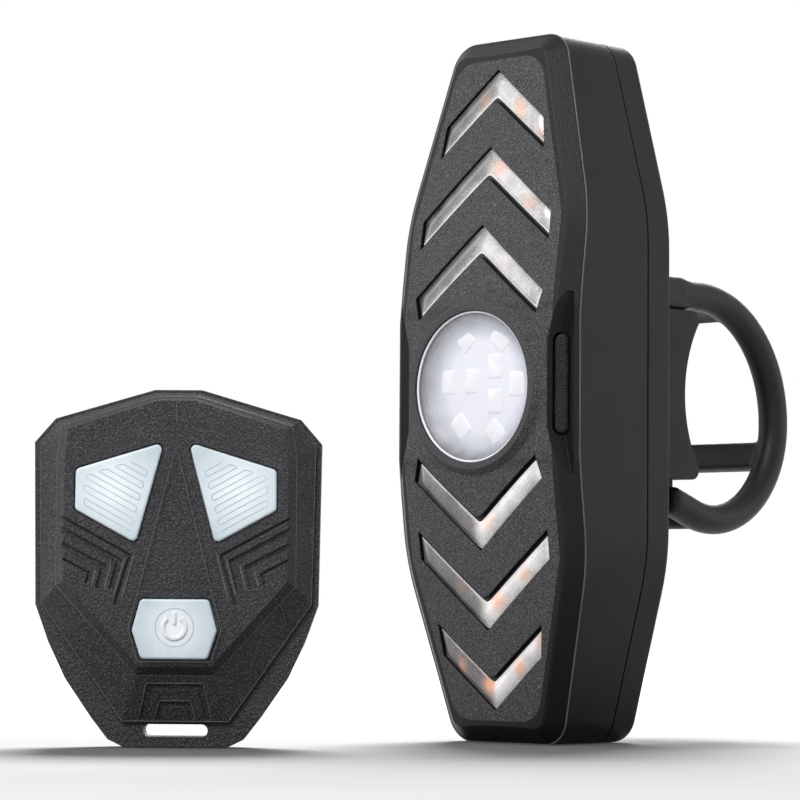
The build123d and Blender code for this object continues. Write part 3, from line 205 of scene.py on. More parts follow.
def mixColours(tree, factor, low, high):
    n = node(tree, "ShaderNodeMix", data_type="RGBA")
    tree.links.new(factor, n.inputs["Factor"])
    for place, value in (("A", low), ("B", high)):
        socket = [i for i in n.inputs if i.name == place and i.type == "RGBA"][0]
        if isinstance(value, tuple):
            socket.default_value = (*value, 1)
        else:
            tree.links.new(value, socket)
    return [o for o in n.outputs if o.type == "RGBA"][0]


# a value or colour that follows a factor between two of its levels, which are a noise's usual ones by default
def span(tree, factor, low, high, ends=(0.3, 0.7)):
    return ramp(tree, factor, [(ends[0], low), (ends[1], high)])


# darker or lighter colour
def shaded(colour, share):
    return tuple(c * share for c in colour)


def feed(tree, shader, socket, source):
    tree.links.new(source, shader.inputs[socket])


def objectPlace(tree):
    return node(tree, "ShaderNodeTexCoord").outputs["Object"]


# noise whose swirls have a size in millimetres
def noise(tree, place, size, detail):
    n = node(tree, "ShaderNodeTexNoise", {"Scale": 1 / (size * mm), "Detail": detail})
    tree.links.new(place, n.inputs["Vector"])
    return n.outputs["Fac"]


# a noise's swing about its middle, scaled to a share
def sway(tree, factor, share):
    return sums(tree, "MULTIPLY", sums(tree, "SUBTRACT", factor, 0.5), share)


def distanceFrom(tree, place, middle):
    reach = node(tree, "ShaderNodeVectorMath", {1: middle}, operation="DISTANCE")
    tree.links.new(place, reach.inputs[0])
    return reach.outputs["Value"]


# bump from a height, over edges rounded by a radius where one is given; depth and edge are millimetres
def addRelief(tree, shader, height, strength, depth, edge=None):
    bump = node(tree, "ShaderNodeBump", {"Strength": strength, "Distance": depth * mm})
    tree.links.new(height, bump.inputs["Height"])
    if edge is not None:
        rounded = node(tree, "ShaderNodeBevel", {"Radius": edge * mm}, samples=4)
        tree.links.new(rounded.outputs["Normal"], bump.inputs["Normal"])
    feed(tree, shader, "Normal", bump.outputs["Normal"])


# moulded grain: cells with a finer noise on top; sizes and depth are shares of the grain
grainSet = dict(fine=0.6, depth=0.35)


# height of the grain, its fine noise, and slow patches
def mouldedGrain(tree, place, grain, patch):
    cells = node(tree, "ShaderNodeTexVoronoi", {"Scale": 1 / (grain * mm)}, feature="SMOOTH_F1")
    tree.links.new(place, cells.inputs["Vector"])
    fine = noise(tree, place, grain * grainSet["fine"], 2.0)
    return sums(tree, "ADD", cells.outputs["Distance"], fine), fine, noise(tree, place, patch, 4.0)


# what a moulded finish has unless its own settings say otherwise
mouldedSet = dict(patch=9.0, low=0.8, high=1.2, shine=0.3, roughSwing=0.08, peaks=(0.50, 0.72))


# moulded plastic or rubber: grain, pale specks where it peaks, painted glints of its sparkle, slow colour
# patches, roughness that follows the grain, and edges rounded by a small radius
def mouldedPlastic(name, own):
    s = dict(mouldedSet, **own)
    mat, tree, shader = newMaterial(name)
    height, fine, patches = mouldedGrain(tree, objectPlace(tree), s["grain"], s["patch"])
    addRelief(tree, shader, height, s["bump"], s["grain"] * grainSet["depth"], s["edge"])
    base = span(tree, patches, shaded(s["colour"], s["low"]), shaded(s["colour"], s["high"]))
    # painted glints: pale specks at the grain's peaks
    if "paintedGlint" in s:
        peaks = span(tree, fine, 0.0, 1.0, ends=s["peaks"])
        base = mixColours(tree, peaks, base, shaded(s["colour"], s["paintedGlint"]))
    feed(tree, shader, "Base Color", base)
    swing = s["roughSwing"]
    feed(tree, shader, "Roughness", span(tree, fine, s["rough"] - swing, s["rough"] + swing))
    shader.inputs["Specular IOR Level"].default_value = s["shine"]
    return mat


# the lamp's front: the depth of a point behind the crowned front tells the grained plate from the smoother,
# darker bevel round it; a border of the plate inside its side, slanted and end lines, turned round where the last
# two meet, also takes the bevel's dark colour as painted shade of a wider bevel; a slant is its normal's x and z
# and its distance from the middle
def coverPlastic(name, s):
    mat, tree, shader = newMaterial(name)
    place = objectPlace(tree)
    axes = node(tree, "ShaderNodeSeparateXYZ")
    tree.links.new(place, axes.inputs[0])
    x, y, z = axes.outputs

    def calc(*terms, **options):
        return sums(tree, *terms, **options)

    up = calc("ABSOLUTE", calc("SUBTRACT", z, lamp["middle"] * mm))
    lean = calc("MULTIPLY", calc("MAXIMUM", calc("SUBTRACT", up, crown["flat"] * mm), 0.0), crown["slope"])
    sag = calc("MULTIPLY", calc("MULTIPLY", x, x), 1 / (2 * crown["radius"] * mm))
    deep = calc("SUBTRACT", calc("SUBTRACT", y, lamp["front"] * mm), calc("ADD", lean, sag))
    behind = calc("DIVIDE", calc("SUBTRACT", deep, s["bevelFrom"] * mm), s["bevelFade"] * mm, clamp=True)
    aside = calc("ABSOLUTE", x)
    nx, nz, reach = s["slant"]
    slanted = calc("SUBTRACT", calc("ADD", calc("MULTIPLY", aside, nx), calc("MULTIPLY", up, nz)),
                   (reach - s["shadedBorder"] - s["turn"]) * mm)
    ended = calc("SUBTRACT", up, (s["end"] - s["shadedBorder"] - s["turn"]) * mm)
    corner = calc("ADD", calc("POWER", calc("MAXIMUM", slanted, 0.0), 2.0),
                  calc("POWER", calc("MAXIMUM", ended, 0.0), 2.0))
    past = calc("MAXIMUM", calc("SUBTRACT", calc("POWER", corner, 0.5), s["turn"] * mm),
                calc("SUBTRACT", aside, (s["side"] - s["shadedBorder"]) * mm))
    # painted shade: the flat border of the plate darkened to the bevel's colour, as if it were a wider bevel in
    # shade
    paintedBorderShade = calc("MULTIPLY", calc("DIVIDE", past, s["shadedBorderFade"] * mm, clamp=True), s["shade"])
    # the bevel's own darker finish together with the painted shade on the border
    bevelAndPaintedShade = calc("MAXIMUM", behind, paintedBorderShade)
    height, fine, patches = mouldedGrain(tree, place, s["grain"], s["patch"])
    height = calc("MULTIPLY", height, calc("SUBTRACT", 1.0, calc("MULTIPLY", bevelAndPaintedShade, s["smoothed"])))
    addRelief(tree, shader, height, s["bump"], s["grain"] * grainSet["depth"], s["edge"])
    plate = span(tree, patches, shaded(s["plate"], s["low"]), shaded(s["plate"], s["high"]))
    # painted glints: pale specks at the grain's peaks
    peaks = span(tree, fine, 0.0, 1.0, ends=s["peaks"])
    plate = mixColours(tree, peaks, plate, shaded(s["plate"], s["paintedGlint"]))
    feed(tree, shader, "Base Color", mixColours(tree, bevelAndPaintedShade, plate, s["bevel"]))
    feed(tree, shader, "Roughness", span(tree, bevelAndPaintedShade, s["plateRough"], s["bevelRough"], ends=(0.0, 1.0)))
    shader.inputs["Specular IOR Level"].default_value = s["shine"]
    return mat


# see-through moulding: a thin tinted skin with a sharp gloss, so the light passes it
def clearPlastic(name, s):
    mat, tree, shader = newMaterial(name)
    marks = noise(tree, objectPlace(tree), s["marks"], 3.0)
    low, high = s["rough"] * s["smooth"], s["rough"] * s["dull"]
    feed(tree, shader, "Roughness", span(tree, marks, low, high, ends=s["ends"]))
    addRelief(tree, shader, marks, s["bump"], s["depth"])
    feed(tree, shader, "Base Color", span(tree, marks, shaded(s["colour"], s["low"]), s["colour"]))
    shader.inputs["Alpha"].default_value = s["body"]
    shader.inputs["Specular IOR Level"].default_value = s["shine"]
    return mat


# frosted lens arms: smoky to pale by painted light and shade, stirred by a fine grain and a coarse cloud, orange
# where a light package shows through, under a clear coat
def arrowPlastic(name, s):
    mat, tree, shader = newMaterial(name)
    place = objectPlace(tree)
    grain = noise(tree, place, s["grain"], 3.0)
    cloud = noise(tree, place, s["cloud"], 3.0)
    # painted light and shade of the arms, from a point attribute
    tone = node(tree, "ShaderNodeAttribute", attribute_name="tone").outputs["Fac"]
    glow = node(tree, "ShaderNodeAttribute", attribute_name="glow").outputs["Fac"]
    stirred = sums(tree, "ADD", tone, sway(tree, grain, s["grainShare"]))
    stirred = sums(tree, "ADD", stirred, sway(tree, cloud, s["cloudShare"]), clamp=True)
    shadedFrost = ramp(tree, stirred, [(0.0, s["dark"]), (0.5, s["middle"]), (1.0, s["pale"])])
    feed(tree, shader, "Base Color", mixColours(tree, glow, shadedFrost, s["orange"]))
    swing = s["roughSwing"]
    feed(tree, shader, "Roughness", span(tree, grain, s["rough"] - swing, s["rough"] + swing))
    addRelief(tree, shader, grain, s["bump"], s["depth"])
    shader.inputs["Coat Weight"].default_value = s["coat"]
    shader.inputs["Coat Roughness"].default_value = s["coatRough"]
    return mat


# all metals' marks: their size, and shares of the roughness and the colour
metalSet = dict(marks=0.4, smooth=0.7, dull=1.4, low=0.85)


# turned or plated metal: fine noise in roughness and colour
def metal(name, own):
    s = dict(metalSet, **own)
    mat, tree, shader = newMaterial(name)
    marks = noise(tree, objectPlace(tree), s["marks"], 4.0)
    feed(tree, shader, "Roughness", span(tree, marks, s["rough"] * s["smooth"], s["rough"] * s["dull"]))
    feed(tree, shader, "Base Color", span(tree, marks, shaded(s["colour"], s["low"]), s["colour"]))
    shader.inputs["Metallic"].default_value = 1.0
    return mat


# finishes by slot; grain, patch, marks, depth and edge are millimetres
finishes = dict(
    # the cover: the bevel's dark colour is also painted as shade over a border of the plate, pale specks as
    # painted glints
    cover_plastic=(coverPlastic, dict(
        plate=(0.019, 0.019, 0.020), bevel=(0.0058, 0.0058, 0.0063), grain=0.26, bump=1.0, edge=0.28, paintedGlint=8.0,
        shine=0.18, side=20.15, end=58.7, slant=(0.9647, 0.2635, 26.95), shadedBorder=3.75, turn=3.2, shade=0.92,
        bevelFrom=0.06, bevelFade=0.22, shadedBorderFade=0.15, smoothed=0.55, patch=7.0, low=0.88, high=1.12,
        peaks=(0.45, 0.70), plateRough=0.58, bevelRough=0.42)),
    housing_plastic=(mouldedPlastic, dict(
        colour=(0.010, 0.010, 0.011), rough=0.42, grain=0.24, bump=0.10, edge=0.30, shine=0.14)),
    amber_lens=(mouldedPlastic, dict(colour=(0.010, 0.010, 0.011), rough=0.40, grain=0.5, bump=0.08, edge=0.1)),
    clear_lens=(clearPlastic, dict(
        colour=(0.93, 0.94, 1.0), low=0.95, rough=0.06, smooth=0.7, dull=1.3, ends=(0.35, 0.65), body=0.12,
        marks=3.0, bump=0.06, depth=0.05, shine=0.5)),
    white_plastic=(mouldedPlastic, dict(colour=(0.72, 0.73, 0.83), rough=0.4, grain=0.6, bump=0.05, edge=0.1)),
    led_package=(mouldedPlastic, dict(colour=(0.75, 0.28, 0.05), rough=0.3, grain=0.3, bump=0.05, edge=0.1)),
    board=(mouldedPlastic, dict(colour=(0.02, 0.10, 0.05), rough=0.35, grain=0.4, bump=0.08, edge=0.05)),
    chip=(mouldedPlastic, dict(colour=(0.02, 0.02, 0.021), rough=0.5, grain=0.2, bump=0.1, edge=0.08)),
    socket_metal=(metal, dict(colour=(0.60, 0.60, 0.62), rough=0.3)),
    screw_metal=(metal, dict(colour=(0.18, 0.18, 0.19), rough=0.35)),
    cell_metal=(metal, dict(colour=(0.72, 0.72, 0.74), rough=0.2)),
    battery_wrap=(mouldedPlastic, dict(colour=(0.33, 0.34, 0.37), rough=0.3, grain=0.8, bump=0.1, edge=0.2)),
    foam=(mouldedPlastic, dict(colour=(0.03, 0.03, 0.03), rough=0.9, grain=0.5, bump=0.7, edge=0.2)),
    wire=(mouldedPlastic, dict(colour=(0.35, 0.02, 0.02), rough=0.4, grain=0.5, bump=0.05, edge=0.05)),
    black_rubber=(mouldedPlastic, dict(
        colour=(0.010, 0.010, 0.011), rough=0.46, grain=0.5, bump=0.06, edge=0.25, shine=0.22)),
    button_rubber=(mouldedPlastic, dict(
        colour=(0.007, 0.007, 0.0075), rough=0.5, grain=0.36, bump=0.8, edge=0.3, paintedGlint=4.0, shine=0.15)),
    bracket_plastic=(mouldedPlastic, dict(
        colour=(0.016, 0.016, 0.017), rough=0.55, grain=0.3, bump=0.4, edge=0.3, paintedGlint=1.8, shine=0.18)),
    remote_plastic=(mouldedPlastic, dict(
        colour=(0.020, 0.020, 0.022), rough=0.44, grain=0.40, bump=0.8, edge=0.20, paintedGlint=4.5, shine=0.20)),
    key_plastic=(mouldedPlastic, dict(
        colour=(0.66, 0.74, 0.82), rough=0.32, grain=0.9, bump=0.04, edge=0.3, low=0.96, high=1.04, patch=5.0)),
)
materials = {slotName: make(slotName + "Finish", settings) for slotName, (make, settings) in finishes.items()}
for part in record["subparts"]:
    obj = frame["nodes"][part["node"]]
    obj.data.materials.clear()
    obj.data.materials.append(materials[part["material_slot"]])
print("finishes made:", len(materials))

# frosted arms in the arrow windows: reach is the outermost apex above mid height, each next one sits a
# pitch nearer; corner and tip are the half widths of the outer and inner edges' ends; a glow is its place
# along the arm, its place across, its size and its strength
arrowSet = dict(
    reach=53.3, pitch=13.15, band=5.17, corner=(10.9, 14.35, 14.25), tip=(11.6, 14.45, 13.1), outerSlope=0.82,
    innerSlope=0.79, gap=0.30, recess=0.70, edge=0.10, ridge=0.42, ridgePower=1.7, skirt=0.5, apexSoft=0.03,
    endFade=0.09, glowAcross=0.36, shear=0.17,
    glows={1: (((0.50, 0.4, 0.10, 0.60), (0.95, 0.3, 0.07, 0.35), (-0.22, 0.3, 0.08, 0.22)),
               ((0.17, 0.6, 0.08, 0.50), (0.66, 0.4, 0.07, 0.40)),
               ((0.45, 0.5, 0.10, 0.05),)),
           -1: (((-0.62, 0.6, 0.07, 0.50), (-0.08, 0.25, 0.09, 0.95), (0.55, 0.45, 0.08, 0.95),
                 (0.95, 0.3, 0.06, 0.45)),
                ((0.18, 0.35, 0.09, 0.90), (0.62, 0.5, 0.06, 0.60), (-0.35, 0.2, 0.06, 0.12)),
                ((0.14, 0.3, 0.09, 0.45),))})

# painted light and shade of the arms, upper and lower group: a base, the painted light that the right arm and the
# inner half of the left one add, the right arm's lit middle line, the lit apex, and the painted shade that
# darkens them towards either end; then the painted highlights along the edges, each a strength and a width
paintedLightingSet = {
    1: dict(right=0.42, left=0.42, leftTo=0.62, leftRate=1.8, middle=0.20, apex=0.0, fadeRight=0.15,
            fadeLeft=0.16),
    -1: dict(right=0.52, left=0.22, leftTo=0.5, leftRate=2.0, middle=0.16, apex=0.25, fadeRight=0.0,
             fadeLeft=0.0),
}
paintedLightingShared = dict(base=0.24, turn=9, apexWidth=0.16, innerHighlight=(0.8, 0.06), outerHighlight=(0.30, 0.05),
                  endHighlight=(0.5, 0.02))


def peak(distance, width):
    return np.exp(-(distance / width) ** 2)


# a runs from the left end over the apex to the right end, v from the inner to the outer edge
def armPaintedLighting(a, v, side):
    s, shared = paintedLightingSet[side], paintedLightingShared
    # painted light: the right arm lit brighter than the left, the left one lit on its inner half and in painted
    # shade on its outer half
    right = 0.5 + 0.5 * np.tanh(a * shared["turn"])
    tone = shared["base"] + s["right"] * right + s["apex"] * peak(a, shared["apexWidth"])
    tone = tone + s["left"] * (1 - right) * np.clip((s["leftTo"] - v) * s["leftRate"], 0, 1)
    tone = tone + s["middle"] * right * np.sin(np.pi * v)
    tone = tone - (s["fadeRight"] * right + s["fadeLeft"] * (1 - right)) * a ** 2
    # painted highlights along the inner, outer and end edges
    edgeHighlights = ((shared["innerHighlight"], v, 1), (shared["outerHighlight"], 1 - v, 1),
             (shared["endHighlight"], 1 - np.abs(a), right))
    for (strength, width), distance, share in edgeHighlights:
        tone = tone + strength * peak(distance, width) * share
    return np.clip(tone, 0, 1)


# one arrow on the crowned front: a rounded ridge that dies out at its ends, with a skirt below its borders
def ridgedArrow(index, side, s):
    apex = s["reach"] - index * s["pitch"]
    outerTop = apex - s["gap"] * math.hypot(1, s["outerSlope"])
    innerTop = apex - s["band"] + s["gap"] * math.hypot(1, s["innerSlope"])
    across = np.concatenate([[0.0], 0.5 - 0.5 * np.cos(np.linspace(0, np.pi, 19)), [1.0]])
    a, v = np.meshgrid(np.linspace(-1, 1, 81), across, indexing="ij")
    soft = np.sqrt(a ** 2 + s["apexSoft"] ** 2) - s["apexSoft"]  # rounds the apex
    innerX, outerX = s["tip"][index] - s["gap"], s["corner"][index] - s["gap"]
    x = a * (innerX + (outerX - innerX) * v)
    z = ((innerTop - s["innerSlope"] * innerX * soft) * (1 - v)
         + (outerTop - s["outerSlope"] * outerX * soft) * v)
    ends = np.clip((1 - np.abs(a)) / s["endFade"], 0, 1)
    height = s["edge"] + s["ridge"] * (1 - np.abs(2 * v - 1) ** s["ridgePower"]) * ends
    height[:, [0, -1]] = -s["skirt"]
    y = lamp["front"] + frontDepth(x, side * z) + s["recess"] - height
    glow = np.zeros_like(a)
    for place, over, size, strength in s["glows"][side][index]:
        beside = a - place - s["shear"] * np.sign(place) * (v - over)  # square to the arm
        glow = np.maximum(glow, strength * peak(beside, size) * peak(v - over, s["glowAcross"]))
    return dict(grid=np.stack([x, y, lamp["middle"] + side * z], -1),
                marks=dict(tone=armPaintedLighting(a, v, side), glow=glow))


arrowFinish = arrowPlastic("arrowFrost", dict(
    dark=(0.020, 0.020, 0.022), middle=(0.20, 0.19, 0.19), pale=(0.74, 0.72, 0.72), orange=(0.88, 0.42, 0.24),
    grain=0.30, grainShare=0.45, cloud=2.6, cloudShare=0.5, rough=0.36, roughSwing=0.1, bump=0.25, depth=0.06,
    coat=0.5, coatRough=0.12))
for side, arrowName in ((1, "upper_arrow_frost"), (-1, "lower_arrow_frost")):
    arms = makePiece(arrowName, [ridgedArrow(index, side, arrowSet) for index in range(3)], arrowFinish)
    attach(arms, "lamp_body")
print("arrow lenses made")

# round lens: a clear dome whose rim is a thin white bead, a painted highlight for its bright edge, over a pale
# insert with bright square windows; axisHole is the least radius of a turned piece; a pad is its place across and
# up and its turn, and its foot and cap are rows of (depth past the insert or the pad's own depth, share of its
# size)
lensSet = dict(
    radius=12.5, crown=1.35, thickness=0.45, innerShare=0.985, axisHole=0.02, beadRadius=0.20, beadPlace=12.36,
    beadDepth=-0.16, insertRadius=12.3, insertDepth=2.3, insertDish=1.75, insertFlat=8.0, insertPower=2.4,
    insertBack=3.2, padSize=(3.3, 3.9), padPower=7.0, padDepth=2.12,
    padFoot=((0.5, 1.16), (0.1, 1.12)), padCap=((0.08, 1.0), (0.0, 0.90), (0.0, 0.10)),
    # the insert's white, and the painted shade that darkens it up its wall, at shares of its radius
    insertTones=((0.62, (0.72, 0.725, 0.79)), (0.80, (0.45, 0.46, 0.53)), (1.0, (0.05, 0.052, 0.062))),
    insertCloud=3.0, insertShare=0.16, insertRough=(0.32, 0.46), insertBump=0.1, insertRelief=0.15,
    pads=((-7.5, 1.1, 0), (-2.4, 1.1, 0), (2.8, 3.4, 0), (2.8, -2.4, 0), (7.6, 0.3, 0),
          (-4.1, 8.2, 40), (3.9, 7.9, 45), (-4.8, -6.4, 40), (2.9, -7.6, 45)))


# a loop of (radius, depth) points turned about the lens axis
def turned(loop, count=96):
    t = np.linspace(0, 2 * np.pi, count, endpoint=False)
    r, d = loop[None, :, 0], loop[None, :, 1]
    return np.stack([r * np.cos(t)[:, None], lamp["front"] + d + 0 * t[:, None],
                     lamp["middle"] + r * np.sin(t)[:, None]], -1)


# dome: the outer arc runs from the middle to the edge, turns down the side and comes back inside
def lensDome(s):
    sphere = (s["radius"] ** 2 + s["crown"] ** 2) / (2 * s["crown"])
    r = np.linspace(s["axisHole"], s["radius"], 24)
    outer = sphere - s["crown"] - np.sqrt(sphere ** 2 - r ** 2)
    inner = outer + s["thickness"]
    inside = np.stack([r[::-1] * s["innerShare"], inner[::-1]], -1)
    return turned(np.concatenate([np.stack([r, outer], -1), inside]))


lens = makePiece("round_lens", [dict(grid=lensDome(lensSet), ring=True)], materials["clear_lens"])
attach(lens, "lamp_body")
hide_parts("centre_lens")
bead = roundSection(lensSet["beadRadius"], lensSet["beadRadius"], 2.0, 16)
bead = bead + np.array([lensSet["beadPlace"], lensSet["beadDepth"]])
# painted highlight: the bead white for the clear dome's bright edge
rimHighlightFinish = mouldedPlastic("lensRimFrost", dict(
    colour=(0.80, 0.80, 0.84), rough=0.3, grain=0.5, bump=0.03, edge=0.05, low=0.95, high=1.0))
rim = makePiece("lens_rim", [dict(grid=turned(bead, 128), ring=True)], rimHighlightFinish)
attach(rim, "lamp_body")


# insert: a bowl, flat in the middle, whose wall rises by a power of the distance, closed by a flat back
def insertBowl(s):
    r = np.linspace(s["axisHole"], s["insertRadius"], 40)
    rise = np.clip((r - s["insertFlat"]) / (s["insertRadius"] - s["insertFlat"]), 0, 1)
    face = s["insertDepth"] - s["insertDish"] * rise ** s["insertPower"]
    back = np.array([[s["insertRadius"], s["insertBack"]], [s["axisHole"], s["insertBack"]]])
    return dict(grid=turned(np.concatenate([np.stack([r, face], -1), back])), ring=True)


# pad: a rounded square that rises from the insert, wider at its foot, with a cap that bulges a little
def insertPad(x, z, turn, s):
    section = roundSection(s["padSize"][0] / 2, s["padSize"][1] / 2, s["padPower"], 32)
    c, n = math.cos(math.radians(turn)), math.sin(math.radians(turn))
    section = section @ np.array([[c, n], [-n, c]])
    rows = np.concatenate([np.array(s["padFoot"]) + [s["insertDepth"], 0],
                           np.array(s["padCap"]) + [s["padDepth"], 0]])
    levels, grow = rows[:, :1], rows[:, 1:]
    across, up = grow * section[None, :, 0], grow * section[None, :, 1]
    return dict(grid=np.stack([x + across, lamp["front"] + levels + 0 * across, lamp["middle"] + z + up], -1))


# insert finish: white in the middle and darker up its wall, by the distance from the lens's own middle; the
# darkening is painted shade
def insertPlastic(s):
    mat, tree, shader = newMaterial("insertMilk")
    place = objectPlace(tree)
    middle = (0, (lamp["front"] + s["insertDepth"]) * mm, lamp["middle"] * mm)
    reach = sums(tree, "DIVIDE", distanceFrom(tree, place, middle), s["insertRadius"] * mm)
    cloud = noise(tree, place, s["insertCloud"], 4.0)
    stirred = sums(tree, "ADD", reach, sway(tree, cloud, s["insertShare"]))
    # painted shade: the wall and rim darker by their distance from the middle
    feed(tree, shader, "Base Color", ramp(tree, stirred, s["insertTones"]))
    feed(tree, shader, "Roughness", span(tree, cloud, *s["insertRough"]))
    addRelief(tree, shader, cloud, s["insertBump"], s["insertRelief"])
    return mat


insertFinish = insertPlastic(lensSet)
insert = makePiece("lens_insert", [insertBowl(lensSet)], insertFinish)
padFinish = mouldedPlastic("padMilk", dict(
    colour=(0.84, 0.84, 0.86), rough=0.35, grain=0.8, bump=0.05, edge=0.5, low=0.90, high=1.02, patch=1.3))
pads = makePiece("insert_windows", [insertPad(*place, lensSet) for place in lensSet["pads"]], padFinish)
for piece in (insert, pads):
    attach(piece, "lamp_body")
print("round lens made")

# rim edge: the fine bead where the bevel meets the side wall, painted a light grey as a highlight along that
# edge, carried round the body's outline, whose upper right corners and their radii are mirrored down and across
rimSet = dict(corners=((11.9, 58.7), (20.15, 28.5)), radii=(5, 40), bead=0.13, depth=3.6, lean=7.0)


# closed loop with a round arc at each corner: the arc starts and ends a tangent length from the corner,
# and its points run along the circle that touches both sides
def roundedLoop(corners, radii, steps=16):
    corners = np.asarray(corners, float)
    before = np.roll(corners, 1, 0) - corners
    after = np.roll(corners, -1, 0) - corners
    before /= np.linalg.norm(before, axis=1)[:, None]
    after /= np.linalg.norm(after, axis=1)[:, None]
    half = np.arccos(np.clip((before * after).sum(1), -1, 1)) / 2
    radii = np.asarray(radii, float)
    middle = before + after
    middle /= np.linalg.norm(middle, axis=1)[:, None]
    centre = corners + middle * (radii / np.sin(half))[:, None]
    start = corners + before * (radii / np.tan(half))[:, None] - centre
    end = corners + after * (radii / np.tan(half))[:, None] - centre
    t = np.linspace(0, 1, steps)[None, :, None]
    sweep = (np.pi / 2 - half)[:, None, None] * 2
    arc = (np.sin((1 - t) * sweep) * start[:, None] + np.sin(t * sweep) * end[:, None]) / np.sin(sweep)
    return (centre[:, None] + arc).reshape(-1, 2)


upper = np.array(rimSet["corners"])
right = np.concatenate([upper, upper[::-1] * [1, -1]])
outline = np.concatenate([right, right[::-1] * [-1, 1]])
loop = roundedLoop(outline, (rimSet["radii"] + rimSet["radii"][::-1]) * 2)
loop = runs(loop, np.roll(loop, -1, 0))
lean = math.tan(math.radians(rimSet["lean"]))
depth = rimSet["depth"] + lean * np.maximum(0, np.abs(loop[:, 1]) - crown["flat"])
path = np.stack([loop[:, 0], lamp["front"] + depth, lamp["middle"] + loop[:, 1]], -1)
rimSection = roundSection(rimSet["bead"], rimSet["bead"], 2.0, 10)
# painted highlight: the bead lighter grey than the housing round it
edgeHighlightFinish = mouldedPlastic("rimEdgeSheen", dict(
    colour=(0.085, 0.085, 0.09), rough=0.4, grain=0.4, bump=0.1, edge=0.05))
rimBead = makePiece("cover_rim_edge", [dict(grid=carry(rimSection, path, (0, 1, 0), ring=True), ring=True)],
                    edgeHighlightFinish)
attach(rimBead, "lamp_body")
print("rim edge made")

# strap in one piece: two round rails, a root block with its window, a flat band behind it, two rungs and the
# pull bar; places are (behind the back cover, above mid height); a rung is its angle down the lower turn and
# its half sizes along and through; steps are the points of the level run, of each turn and of the tail
strapSet = dict(
    rail=2.55, halfPitch=12.0, railEnds=(0.55, 0.9), rootStart=9.0, rootLevel=17.2, rootEnd=15.8,
    rootHalfHeight=2.9, rootOverhang=1.6, rootBars=((2.92, 1.92), (10.28, 1.73)), sideBar=(11.8, 2.55),
    sideStart=1.1, taperStart=10.5, taperTo=0.76, upperStart=16.9, upperRadius=21.0, lowerRadius=17.0,
    lowerDrop=0.2, tailAngle=20.0, tailLength=7.2, barHalf=1.7, rungs=((19.0, 2.55, 1.5), (78.0, 3.8, 1.5)),
    steps=(14, 48, 12), barPower=4.0, pullPower=3.0, bandPower=8.0, bandFrom=4, bandRows=24, bandHalf=1.9,
    voxel=0.42, easing=5)


# rail path: level run, quarter circle, the rest of the turn on a smaller circle, straight tail
def strapPath(s):
    runSteps, turnSteps, tailSteps = s["steps"]
    drop = s["rootLevel"] - s["upperRadius"]
    reach = s["upperStart"] + s["upperRadius"]
    out = np.linspace(s["rootStart"], s["upperStart"], runSteps)
    run = np.stack([out, np.full(runSteps, s["rootLevel"])], -1)
    t = np.linspace(0, np.pi / 2, turnSteps)[1:]
    upper = np.stack([s["upperStart"] + s["upperRadius"] * np.sin(t), drop + s["upperRadius"] * np.cos(t)], -1)
    t = np.linspace(0, np.pi / 2 + math.radians(s["tailAngle"]), turnSteps)[1:]
    centre = (reach - s["lowerRadius"], drop - s["lowerDrop"])
    lower = np.stack([centre[0] + s["lowerRadius"] * np.cos(t), centre[1] - s["lowerRadius"] * np.sin(t)], -1)
    tail = np.array([-math.cos(math.radians(s["tailAngle"])), math.sin(math.radians(s["tailAngle"]))])
    tail = lower[-1] + np.linspace(0, s["tailLength"], tailSteps)[1:, None] * tail
    return np.concatenate([run, upper, lower, tail]), centre


def strapPlace(x, points):
    return np.stack([np.full(len(points), x), lamp["back"] + points[:, 0], lamp["middle"] + points[:, 1]], -1)


# bar across: a rounded section turned about X and carried from rail to rail
def crossBar(place, angle, halfAlong, halfThick, halfSpan, power):
    section = roundSection(halfAlong, halfThick, power)
    c, n = math.cos(math.radians(angle)), math.sin(math.radians(angle))
    x = np.linspace(-halfSpan, halfSpan, 9)
    y = lamp["back"] + place[0] + section[:, 0] * c - section[:, 1] * n
    z = lamp["middle"] + place[1] + section[:, 0] * n + section[:, 1] * c
    x, y, z = np.broadcast_arrays(x[:, None], y[None, :], z[None, :])
    return dict(grid=np.stack([x, y, z], -1))


def strapShells(s):
    line, centre = strapPath(s)
    ends = np.ones(len(line))
    ends[[0, -1]], ends[[1, -2]] = s["railEnds"]
    rail = roundSection(s["rail"], s["rail"], 2.0)
    shells = [dict(grid=carry(rail, strapPlace(x, line), (1, 0, 0), swell=ends))
              for x in (-s["halfPitch"], s["halfPitch"])]
    for angle, halfAlong, halfThick in s["rungs"]:
        a = math.radians(angle)
        place = (centre[0] + s["lowerRadius"] * math.cos(a), centre[1] - s["lowerRadius"] * math.sin(a))
        shells.append(crossBar(place, 90 - angle, halfAlong, halfThick, s["halfPitch"], s["barPower"]))
    shells.append(crossBar(line[-1], -s["tailAngle"], s["barHalf"], s["barHalf"], s["halfPitch"], s["pullPower"]))
    for place, half in s["rootBars"]:
        shells.append(crossBar((place, s["rootLevel"]), 0, half, s["rootHalfHeight"],
                               s["sideBar"][0] + s["rootOverhang"], s["barPower"]))
    band = roundSection(s["bandHalf"], s["halfPitch"], s["bandPower"], 64)
    behind = line[s["bandFrom"]:s["bandFrom"] + s["bandRows"]]
    shells.append(dict(grid=carry(band, strapPlace(0.0, behind), (1, 0, 0))))
    block = np.stack([np.linspace(s["sideStart"], s["rootEnd"], 12), np.full(12, s["rootLevel"])], -1)
    section = roundSection(s["rootHalfHeight"], s["sideBar"][1], s["barPower"])
    taper = np.interp(block[:, 0], (s["taperStart"], s["rootEnd"]), (1.0, s["taperTo"]))  # ends in the rails
    for x in (-s["sideBar"][0], s["sideBar"][0]):
        shells.append(dict(grid=carry(section, strapPlace(x, block), (1, 0, 0), swell=taper)))
    return shells


